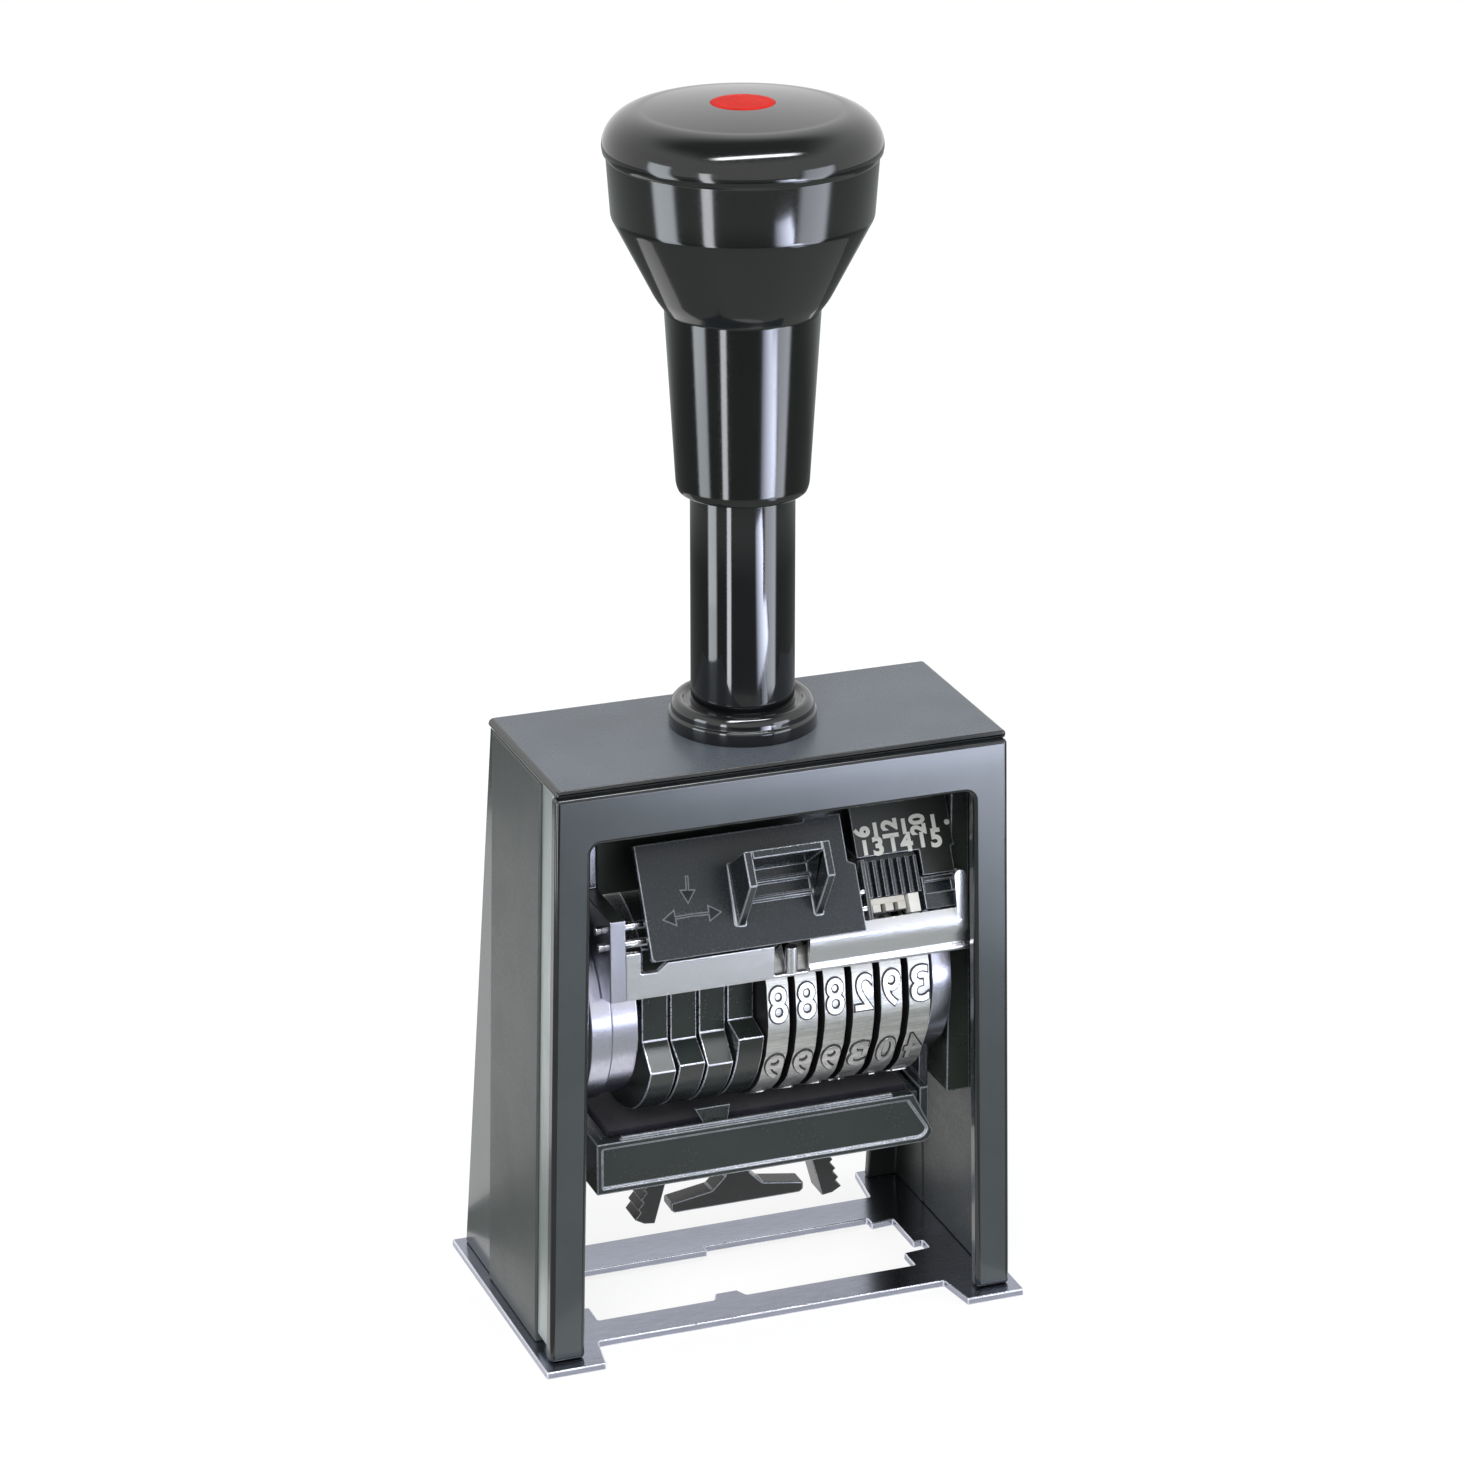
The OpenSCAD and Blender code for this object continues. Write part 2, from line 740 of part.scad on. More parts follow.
module cap_screw() {
  color("gray")
  translate([0, tube_y, cap_z])
  difference() {
    cylinder(h = 2.8, r = 5.5);
    translate([0, 0, 1.2]) cylinder(h = 2, r = 2, $fn = 6);
  }
}

// Ring of points of the spring's wire at a turn of the helix
function wire_ring(t, r, h, wire, sides) =
  let (a = 360 * t, z = h * t / spring_turns)
  [for (j = [0:sides - 1])
    let (b = 360 * j / sides, rr = r + wire * cos(b))
    [rr * cos(a), rr * sin(a), z + wire * sin(b)]];

module return_spring() {
  sides = 8;
  per_turn = 20;
  rings = spring_turns * per_turn;
  low = seat_z + spring_wire_r + 0.05;
  height = crown_z - low - spring_wire_r - 0.05;
  points = [for (i = [0:rings])
    each wire_ring(i / per_turn, spring_r, height, spring_wire_r, sides)];
  faces = concat(
    [[for (j = [0:sides - 1]) j]],
    [for (i = [0:rings - 1]) for (j = [0:sides - 1])
      [i * sides + j, (i + 1) * sides + j,
       (i + 1) * sides + (j + 1) % sides, i * sides + (j + 1) % sides]],
    [[for (j = [sides - 1:-1:0]) rings * sides + j]]
  );
  color("lightsteelblue")
  translate([0, tube_y, low]) polyhedron(points = points, faces = faces);
}

module rod_nut() {
  color("gray")
  translate([0, tube_y, yoke_z - rod_nut_h])
  difference() {
    cylinder(h = rod_nut_h, r = rod_r + 2.6, $fn = 6);
    translate([0, 0, -1]) cylinder(h = rod_nut_h + 2, r = rod_r + seat_gap);
  }
}

// ---------------------------------------------------------------- carriage

module yoke() {
  color([0.22, 0.24, 0.24])
  difference() {
    union() {
      box([cheek_l_x, tube_y - 6, yoke_z], [cheek_r_x, yoke_y1, yoke_top]);
      box([cheek_l_x, web_y0, web_z], [cheek_r_x, web_y1, yoke_z + EPS]);
    }
    translate([0, tube_y, yoke_z - rod_nut_h - 0.4]) cylinder(h = rod_nut_h + 0.4, r = rod_r + 3);
    translate([0, tube_y, yoke_z - 1]) cylinder(h = yoke_t + 2, r = rod_r + seat_gap);
  }
}

// Side outline of a cheek's plate above its hub, given its points up to the riser's foot
module cheek_outline(front_points) {
  polygon(concat(
    front_points,
    [[shoe_y0, yoke_top], [yoke_y1, yoke_top], [yoke_y1, web_z], [axle_y + 6, axle_z + 8],
     [axle_y - 6, axle_z + 4]]
  ));
}

module left_cheek() {
  plate_x = cheek_l_x - cheek_l_t;
  color("lightgray")
  difference() {
    union() {
      difference() {
        from_side(plate_x, cheek_l_x)
          cheek_outline([
            [cheek_front_y, bar_z], [cheek_front_y, cheek_tip_z], [shoe_y0, cheek_tip_z]
          ]);
        at_axle() x_rod(plate_x - 1, hub_l_x, arm_hub_r + 0.3);
      }
      at_axle() x_rod(hub_l_x, hub_l_x + cheek_hub_w, hub_r);
    }
    at_axle() x_rod(plate_x - 1, hub_l_x + cheek_hub_w + 1, axle_r + seat_gap);
    for (z = [rod_1, rod_2])
      at_selector() x_rod(plate_x - 1, cheek_l_x + 1, guide_rod_r + seat_gap, rod_in, z);
    x_rod(plate_x - 1, cheek_l_x + 1, pawl_rod_r + seat_gap, pawl_y, pawl_z);
  }
}

module right_cheek() {
  slope_in = comb_back + comb_t + 0.1;
  foot = in_selector(slope_in, 0);
  head = in_selector(slope_in, 13);
  color("lightgray")
  difference() {
    union() {
      from_side(cheek_r_x, cheek_r_x + cheek_r_t)
        cheek_outline([
          [cheek_front_y + bar_t, bar_z], [cheek_front_y + bar_t, foot[1]],
          foot, head, [shoe_y0, head[1]]
        ]);
      at_axle() x_rod(cheek_r_x, cheek_r_x + cheek_r_t, hub_r);
    }
    at_axle() x_rod(cheek_r_x - 1, cheek_r_x + cheek_r_t + 1, axle_r + seat_gap);
    x_rod(cheek_r_x - 1, cheek_r_x + cheek_r_t + 1, pawl_rod_r + seat_gap, pawl_y, pawl_z);
  }
}

// Sliding shoes between the cheeks and the rails, cut off aslant at the lower front corner
module guide_shoes() {
  left = [-rail_x + shoe_gap, cheek_l_x - cheek_l_t];
  right = [cheek_r_x + cheek_r_t, rail_x - shoe_gap];
  color([0.40, 0.44, 0.40])
  for (x = [left, right])
    from_side(x[0], x[1]) polygon([
      [shoe_y0, shoe_z + 4], [shoe_y0 + 4, shoe_z], [yoke_y1, shoe_z],
      [yoke_y1, yoke_top], [shoe_y0, yoke_top]
    ]);
}

module wheel_axle() {
  color("silver")
  at_axle() x_rod(arm_l_x0 - arm_gap - clip_t, arm_r_x1 + arm_gap + clip_t, axle_r);
}

module axle_clips() {
  color("gray")
  at_axle()
  for (x = [arm_l_x0 - arm_gap - clip_t, arm_r_x1 + arm_gap])
    difference() {
      x_rod(x, x + clip_t, axle_r + 1.4);
      x_rod(x - 1, x + clip_t + 1, axle_r + seat_gap);
    }
}

module left_cross_bar() {
  post = 2.2;
  color("gainsboro")
  from_front(cheek_front_y, cheek_front_y + bar_t)
  polygon([
    [cheek_l_x, bar_z], [bar_r_start - 0.3, bar_z], [bar_r_start - 0.3, bar_z + lip_r],
    [bar_l_end, bar_z + lip_r], [bar_l_end, bar_top],
    [cheek_l_x + 6.1, bar_top], [cheek_l_x + 4.7, bar_top - 1.2],
    [cheek_l_x + post, bar_top - 1.2], [cheek_l_x + post, bar_top + 2],
    [cheek_l_x, bar_top + 2]
  ]);
}

// Cross-section of the right bar above its lip, bevelled to clear the selector
module right_bar_section() {
  back = cheek_front_y + bar_t;
  polygon([
    [cheek_front_y, bar_z + lip_r], [cheek_front_y, bar_top], [back - 0.2, bar_top + 1.4],
    [back, bar_top + 1.4], [back, bar_z + lip_r]
  ]);
}

// The right bar has a rolled lower lip and an upright end that narrows to a round head
module right_cross_bar() {
  foot_x = bar_r_end - 2.4;
  head_x = foot_x + 0.2;
  head_z = cheek_tip_z + 0.2;
  color("gainsboro")
  union() {
    from_side(bar_r_start, bar_r_end) right_bar_section();
    from_front(cheek_front_y, cheek_front_y + bar_t)
    polygon(concat(
      [[foot_x, bar_top - EPS], [bar_r_end, bar_top - EPS]],
      [for (a = [0:30:180])
        [head_x + head_r * cos(a), head_z - head_r + head_r * sin(a)]]
    ));
    x_rod(bar_r_start, bar_r_end, lip_r, cheek_front_y + lip_r, bar_z + lip_r);
  }
}

module bar_pin() {
  color("lightgray")
  translate([(bar_l_end + bar_r_start) / 2, cheek_front_y + pin_r - pin_ahead, bar_z + lip_r])
    cylinder(h = bar_h - lip_r - 0.6, r = pin_r);
}

module selector_rods() {
  color("silver")
  at_selector()
  for (z = [rod_1, rod_2])
    x_rod(cheek_l_x - cheek_l_t - rod_proud, bracket_x + bracket_t, guide_rod_r, rod_in, z);
}

// Upright plate that holds the rods' right ends and the scale
module rod_bracket() {
  low = in_selector(comb_back, 6);
  color([0.20, 0.21, 0.22])
  difference() {
    union() {
      at_selector() box([bracket_x, scale_in, 1.4], [bracket_x + bracket_t, comb_back + comb_t, 10]);
      box([bracket_x, low[0] + 1, web_z + 0.5], [bracket_x + bracket_t, web_y0, web_z + 2.3]);
    }
    for (z = [rod_1, rod_2])
      at_selector() x_rod(bracket_x - 1, bracket_x + 2, guide_rod_r + seat_gap, rod_in, z);
  }
}

// Leaning scale, with a lower tongue beside the comb
module scale_plate() {
  tongue_x = comb_x1 + 0.5;
  color([0.16, 0.18, 0.17])
  at_selector()
  union() {
    box([scale_left, scale_in, 10.3], [scale_x1, scale_in + scale_t, 18.6]);
    box([tongue_x, scale_in, 6.6], [scale_x1 - 0.5, scale_in + scale_t, 10.3 + EPS]);
    box([scale_x0, scale_in + scale_t - EPS, 10.3], [comb_x1, comb_back, 11]);
  }
}

// Row of locating fins for the selector's settings
module detent_comb() {
  fins = 6;
  pitch = (comb_x1 - scale_x0 - 0.5) / fins;
  color([0.30, 0.31, 0.32])
  at_selector()
  union() {
    box([scale_x0, comb_back, 2.3], [comb_x1, comb_back + comb_t, 11]);
    for (i = [0:fins])
      box([scale_x0 + i * pitch, comb_in, 4.5],
          [scale_x0 + i * pitch + 0.5, comb_back + EPS, 9.7]);
  }
}

// Pale toothed foot under the fins
module detent_rack() {
  color("beige")
  at_selector()
  union() {
    box([scale_x0, comb_in + 0.4, 3.5], [scale_x0 + 5.3, comb_back, 4.4]);
    for (i = [0:2])
      box([scale_x0 + 0.2 + i * 1.9, comb_in, 2.4],
          [scale_x0 + 1.4 + i * 1.9, comb_back, 3.5 + EPS]);
  }
}

module detent_leaf() {
  color("white")
  at_selector() box([scale_x0 + 5.6, scale_in, 1.7], [scale_x0 + 7.2, comb_back, 4.4]);
}

// Dark stop beside the comb that ends the selector's travel
module stop_block() {
  color([0.16, 0.17, 0.17])
  at_selector()
  difference() {
    box([comb_x1 + 0.1, scale_in, 1.8], [scale_x1 - 0.4, comb_back + comb_t, 6.4]);
    box([comb_x1 + 0.5, scale_in - 1, 4], [scale_x1 - 0.9, scale_in + 1.2, 5.7]);
  }
}

module pawl_rod() {
  color("silver")
  x_rod(cheek_l_x - cheek_l_t, cheek_r_x + cheek_r_t, pawl_rod_r, pawl_y, pawl_z);
}

// Spring pawls that index the figure wheels, one over each wheel
module index_pawls() {
  color("goldenrod")
  for (i = [0:5]) {
    x = wheel_x0 + i * wheel_pitch + 0.5;
    w = wheel_face - 1;
    difference() {
      union() {
        x_rod(x, x + w, pawl_rod_r + 0.8, pawl_y, pawl_z);
        box([x, pawl_y + 0.5, pawl_z - 3.1], [x + w, pawl_y + 1.3, pawl_z]);
      }
      x_rod(x - 1, x + w + 1, pawl_rod_r + seat_gap, pawl_y, pawl_z);
    }
  }
}

// ---------------------------------------------------------------- wheels

// Ten flats for the figures, each followed by a narrow and a wider plain facet
function wheel_outline() =
  [for (k = [0:9]) for (b = [-8, -2, figure_angle - 2])
    let (a = 180 - b - 36 * k)
    [wheel_r * cos(a), wheel_r * sin(a)]];

module digit_wheel(i) {
  x0 = wheel_x0 + (i - 1) * wheel_pitch;
  color([0.85, 0.84, 0.80])
  at_axle()
  difference() {
    union() {
      from_side(x0, x0 + wheel_face) polygon(wheel_outline());
      x_rod(x0, min(x0 + wheel_pitch, cheek_r_x) - 0.1, wheel_r - 2.4);
    }
    x_rod(x0 - 1, x0 + wheel_pitch + 1, axle_r + run_gap);
  }
}

module digit_wheel_1() { digit_wheel(1); }
module digit_wheel_2() { digit_wheel(2); }
module digit_wheel_3() { digit_wheel(3); }
module digit_wheel_4() { digit_wheel(4); }
module digit_wheel_5() { digit_wheel(5); }
module digit_wheel_6() { digit_wheel(6); }

// Disc with a rim below and an upright flat above, joined by a ledge
module repeat_disc(i) {
  x0 = disc_x0 + (i - 1) * disc_pitch;
  r = wheel_r - disc_under;
  drop = steps_of_discs[i - 1][0];
  a = steps_of_discs[i - 1][1];
  color([0.16, 0.18, 0.18])
  at_axle()
  difference() {
    union() {
      x_rod(x0, x0 + disc_face, r);
      x_rod(x0, x0 + disc_pitch - 0.05, disc_flat - 1.5);
    }
    from_side(x0 - EPS, x0 + disc_face + EPS) polygon([
      [-disc_flat, -drop], [-r * cos(a), -r * sin(a)], [-2 * r, -r * sin(a)],
      [-2 * r, 2 * r], [-disc_flat, 2 * r]
    ]);
    x_rod(x0 - 1, x0 + disc_pitch + 1, axle_r + run_gap);
  }
}

module repeat_disc_1() { repeat_disc(1); }
module repeat_disc_2() { repeat_disc(2); }
module repeat_disc_3() { repeat_disc(3); }
module repeat_disc_4() { repeat_disc(4); }

// ---------------------------------------------------------------- selector

// Block that runs on the two rods; slots in it take the plate's lugs
module selector_slider() {
  color([0.18, 0.19, 0.20])
  at_selector()
  difference() {
    box([slider_x0, sel_t + slider_gap, slider_low],
        [slider_x0 + slider_w, slider_back, slider_high]);
    for (z = [rod_1, rod_2])
      x_rod(slider_x0 - 1, slider_x0 + slider_w + 1, guide_rod_r + run_gap, rod_in, z);
    for (x = [slider_x0 + 2.5, slider_x0 + slider_w - 2.5])
      box([x - lug_r - 0.1, 0, lug_at - sel_press - lug_r - 0.1],
          [x + lug_r + 0.1, slider_back + 1, lug_at + lug_r + 0.1]);
  }
}

// Outline of the scoop's side, from its foot on the plate round to its head
module scoop_side() {
  polygon([
    [EPS, scoop_foot], [-scoop_out, scoop_lip], [-scoop_out + 0.3, scoop_top],
    [EPS, scoop_head]
  ]);
}

// Top wall of the scoop, under its head
module scoop_roof() {
  polygon([
    [EPS, scoop_head - scoop_t], [-scoop_out + 0.25, scoop_top - scoop_t],
    [-scoop_out + 0.3, scoop_top], [EPS, scoop_head]
  ]);
}

module selector_plate() {
  right = sel_x0 + sel_w;
  step = 1.1;
  color([0.24, 0.26, 0.27])
  at_selector()
  union() {
    from_front(0, sel_t) polygon([
      [sel_x0, 0.3], [sel_x0 + 0.3, 0], [right, 0], [right, 9.5], [right - step, 10],
      [right - step, sel_h + sel_step], [right - 6.7, sel_h + sel_step], [right - 6.7, sel_h],
      [sel_x0, sel_h]
    ]);
    for (x = [scoop_x0, scoop_x0 + scoop_w - scoop_t])
      from_side(x, x + scoop_t) scoop_side();
    from_side(scoop_x0, scoop_x0 + scoop_w) scoop_roof();
    for (z = [6.2, 8.6])
      box([scoop_x0 + scoop_t - EPS, -1, z], [scoop_x0 + scoop_w - scoop_t + EPS, EPS, z + 0.6]);
    for (x = [slider_x0 + 2.5, slider_x0 + slider_w - 2.5])
      translate([x, sel_t - EPS, lug_at]) rotate([-90, 0, 0])
        cylinder(h = slider_back - sel_t - 0.4, r = lug_r);
  }
}

// ---------------------------------------------------------------- ink tray

// Outline of the tray's front wall: aslant at the right, round at the lower right corner
function tray_outline(inset) =
  let (
    steps = 6,
    x1 = tray_x1 - inset,
    low = tray_low + inset,
    r = tray_corner_r - inset / 2
  )
  concat(
    [[tray_x0 + inset, tray_top - inset], [tray_x0 + inset, low]],
    [for (i = [0:steps])
      [x1 - r + r * sin(90 * i / steps), low + r - r * cos(90 * i / steps)]],
    [[x1 - tray_slant, tray_top - inset]]
  );

// Four walls with a raised rim round the front one and a rib along its upper edge
module ink_tray() {
  front = -tray_front;
  color([0.14, 0.15, 0.15])
  at_axle()
  union() {
    difference() {
      box([tray_x0, front + tray_t - EPS, tray_low], [tray_x1, tray_back, tray_top]);
      box([tray_x0 + tray_t, front, tray_low - 1],
          [tray_x1 - tray_t, tray_back - tray_t, tray_top + 1]);
    }
    from_front(front, front + tray_t) polygon(tray_outline(0));
    from_front(front - rim_h, front + EPS)
    difference() {
      polygon(tray_outline(0));
      polygon(tray_outline(rim_w));
    }
    box([tray_x0 + 3.8, front, tray_top - EPS], [tray_x1 - 6.2, front + rib_t, tray_top + rib_h]);
  }
}

// Small upright tab on the front wall, behind the rib
module tray_clip() {
  clip_x = -7;
  clip_h = 2.6;
  color("gray")
  at_axle()
  from_front(-tray_front + rib_t, -tray_front + tray_t) polygon([
    [clip_x - 1.5, tray_top], [clip_x + 2, tray_top],
    [clip_x + 2.4, tray_top + clip_h], [clip_x - 2.9, tray_top + clip_h]
  ]);
}

// Path of the fixed stud, seen from the swinging arm, for a share of the stroke
function stud_path(s) =
  let (
    a = -tray_swing * s,
    y = stud_dy,
    z = -stud_drop + stroke * s
  )
  [y * cos(a) - z * sin(a), y * sin(a) + z * cos(a)];

// Side outline of the cam slot: the path, given the stud's width on both sides
function slot_side(sign, steps) =
  [for (i = [0:steps])
    let (
      s = i / steps,
      d = 0.001,
      p = stud_path(s),
      t = stud_path(s + d) - stud_path(s - d),
      w = (stud_r + stud_gap) * sign / norm(t)
    )
    [p[0] - t[1] * w, p[1] + t[0] * w]];

module cam_slot(x0, x1) {
  steps = 24;
  half_a = slot_side(1, steps);
  half_b = slot_side(-1, steps);
  from_side(x0, x1)
    polygon(concat(half_a, [for (i = [steps:-1:0]) half_b[i]]));
  for (s = [0, 1])
    x_rod(x0, x1, stud_r + stud_gap, stud_path(s)[0], stud_path(s)[1]);
}

// Arm with its hub on the axle; its far end is riveted to the tray's end wall
module swing_arm(out_x, side) {
  hub_x = out_x - side * arm_hub_w;
  plate_x = out_x - side * arm_t;
  lobe = stud_path(1);
  lobe_r = stud_r + stud_gap + 1.5;
  color("silver")
  at_axle()
  difference() {
    union() {
      x_rod(min(out_x, hub_x), max(out_x, hub_x), arm_hub_r);
      from_side(min(out_x, plate_x), max(out_x, plate_x)) polygon([
        [-6, 0], [-6, tray_low + 1.5], [stud_path(0)[0] + lobe_r, tray_low + 1.5],
        [stud_path(0)[0] + lobe_r, stud_path(0)[1] + lobe_r], [lobe[0], lobe[1] - lobe_r],
        [lobe[0], lobe[1] + lobe_r], [0, arm_hub_r * 0.6]
      ]);
      x_rod(min(out_x, plate_x), max(out_x, plate_x), lobe_r, lobe[0], lobe[1]);
    }
    cam_slot(min(out_x, plate_x) - EPS, max(out_x, plate_x) + EPS);
    intersection() {
      cam_slot(min(out_x, hub_x) - 1, max(out_x, hub_x) + 1);
      x_rod(min(out_x, plate_x) - 1, max(out_x, plate_x) + 1, arm_hub_r + 1);
    }
    x_rod(min(out_x, hub_x) - 1, max(out_x, hub_x) + 1, axle_r + run_gap);
  }
}

module left_swing_arm() {
  swing_arm(arm_l_x0, -1);
}

module right_swing_arm() {
  swing_arm(arm_r_x1, 1);
}

// Box that carries the pad, open on top for the felt
module ink_cartridge() {
  color([0.10, 0.10, 0.11])
  at_axle()
  difference() {
    box([cart_x0, -cart_front, cart_low], [cart_x1, cart_back, pad_top - 0.9]);
    box([cart_x0 + cart_wall, -cart_front + cart_wall, pad_top - pad_t],
        [cart_x1 - cart_wall, cart_back - cart_wall, pad_top]);
  }
}

module ink_pad() {
  color([0.12, 0.10, 0.20])
  at_axle()
  box([cart_x0 + cart_wall, -cart_front + cart_wall, pad_top - pad_t],
      [cart_x1 - cart_wall, cart_back - cart_wall, pad_top]);
}

// Inverted T below the cartridge, by which it is drawn out
module cartridge_handle() {
  bar_top_z = -tee_drop + tee_bar;
  half = [
    [tee_half_w - 0.5, -tee_drop], [tee_half_w, -tee_drop + 0.5], [tee_half_w, bar_top_z],
    [3.9, bar_top_z + 1], [1.9, bar_top_z + 3], [1.65, cart_low]
  ];
  color([0.20, 0.21, 0.21])
  at_axle()
  translate([tee_x, 0, 0])
  from_front(tee_y - 1.6, tee_y + 1.6)
    polygon(concat(half, [for (i = [5:-1:0]) [-half[i][0], half[i][1]]]));
}

// Pair of snap arms that splay outwards, with serrated outer faces for the fingers
module cartridge_latches() {
  teeth = 4;
  foot_x = 11.5;
  latch_drop = tee_drop + 0.8;
  lean_x = 2.6;
  color([0.20, 0.21, 0.21])
  at_axle()
  translate([tee_x, 0, 0])
  for (s = [0, 1]) mirror([s, 0, 0])
    from_front(tee_y - 2.2, tee_y + 2.2) polygon(concat(
      [[foot_x - 1.4, cart_low], [foot_x + lean_x - 1.2, -latch_drop],
       [foot_x + lean_x + 0.4, -latch_drop + 0.2]],
      [for (i = [0:teeth - 1]) each
        let (z = -latch_drop + 0.8 + i * 1.5, x = foot_x + lean_x + 1 - i * 0.45)
        [[x + 0.8, z + 0.2], [x - 0.1, z + 1.3]]],
      [[foot_x + 1.6, cart_low]]
    ));
}

// ---------------------------------------------------------------- assembly

base_plate();
front_frame();
left_side_panel();
right_side_panel();
left_trim_strip();
right_trim_strip();
rear_frame();
top_plate();
guide_collar();
guide_tube();
tube_nut();
bumper_ring();
left_guide_rail();
right_guide_rail();
swing_studs();
handle_grip();
knob_cap();
knob_inlay();
plunger_rod();
cap_screw();
return_spring();
rod_nut();
yoke();
left_cheek();
right_cheek();
guide_shoes();
wheel_axle();
axle_clips();
left_cross_bar();
right_cross_bar();
bar_pin();
selector_rods();
rod_bracket();
scale_plate();
detent_comb();
detent_rack();
detent_leaf();
stop_block();
pawl_rod();
index_pawls();
digit_wheel_1();
digit_wheel_2();
digit_wheel_3();
digit_wheel_4();
digit_wheel_5();
digit_wheel_6();
repeat_disc_1();
repeat_disc_2();
repeat_disc_3();
repeat_disc_4();
selector_slider();
selector_plate();
ink_tray();
tray_clip();
left_swing_arm();
right_swing_arm();
ink_cartridge();
ink_pad();
cartridge_handle();
cartridge_latches();
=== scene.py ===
"""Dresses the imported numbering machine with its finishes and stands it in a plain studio.

Sizes inside the classes are in millimetres and turn into metres where a mesh is made.
X runs to the right, Y from the front to the back and Z up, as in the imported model.
"""

from __future__ import annotations
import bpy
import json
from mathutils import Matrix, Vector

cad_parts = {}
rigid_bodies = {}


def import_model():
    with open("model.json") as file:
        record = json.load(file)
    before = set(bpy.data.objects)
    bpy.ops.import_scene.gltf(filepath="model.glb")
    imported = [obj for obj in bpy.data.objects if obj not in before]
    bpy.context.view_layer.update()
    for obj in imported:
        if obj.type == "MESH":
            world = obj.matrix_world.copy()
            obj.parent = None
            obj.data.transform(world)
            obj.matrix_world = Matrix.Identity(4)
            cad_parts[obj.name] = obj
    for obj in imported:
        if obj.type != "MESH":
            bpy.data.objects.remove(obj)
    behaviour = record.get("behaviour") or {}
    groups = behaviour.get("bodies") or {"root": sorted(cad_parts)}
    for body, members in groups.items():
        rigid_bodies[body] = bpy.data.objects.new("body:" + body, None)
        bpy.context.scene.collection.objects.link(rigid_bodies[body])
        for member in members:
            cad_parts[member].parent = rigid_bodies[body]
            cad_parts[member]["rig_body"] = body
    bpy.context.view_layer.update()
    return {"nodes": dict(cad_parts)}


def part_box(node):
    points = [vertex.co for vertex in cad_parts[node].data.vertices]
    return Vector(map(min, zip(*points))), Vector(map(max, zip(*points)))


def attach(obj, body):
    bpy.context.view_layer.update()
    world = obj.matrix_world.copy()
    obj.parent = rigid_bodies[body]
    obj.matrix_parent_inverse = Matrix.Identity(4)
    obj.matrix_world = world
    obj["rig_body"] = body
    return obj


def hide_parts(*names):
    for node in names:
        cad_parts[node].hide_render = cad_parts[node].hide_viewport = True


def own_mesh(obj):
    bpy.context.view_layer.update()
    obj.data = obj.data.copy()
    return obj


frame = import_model()

import json
import logging
import math
from collections.abc import Iterable, Sequence
from dataclasses import dataclass
from enum import Enum

import bmesh
import bpy
import numpy as np
from mathutils import Matrix, Vector

LOG = logging.getLogger("numbering_machine")
MM = 0.001
TINY = 1e-6
# Points on a rounded corner of an outline, and round a turned piece
CORNER_STEPS = 5
TURN_STEPS = 144
# Edges that turn by more stay sharp, in degrees, on new pieces and on copied ones
SHARP_ANGLE = 32.0
COPY_SHARP_ANGLE = 30.0
# Faces of a copied piece that turn by less become one, in degrees
FLAT_ANGLE = 0.4
# Distances in metres under which points are joined and edges dropped
COPY_WELD = 2e-6
NEW_WELD = 1e-7
NEW_SHORTEST = 1e-8
# Ranges of the tone and grain noise that a finish uses, and how much handling dulls it
TONE_RANGE = (0.32, 0.68)
HEIGHT_RANGE = (0.3, 0.7)
HANDLING_SHARE = 0.3
# Scale of the noise that breaks up worn edges, and the roughness of a clear coat
EDGE_NOISE_SCALE = 900.0
COAT_ROUGHNESS = 0.06
Colour = tuple[float, float, float]
Points = np.ndarray


# ------------------------------------------------------------------ node groups


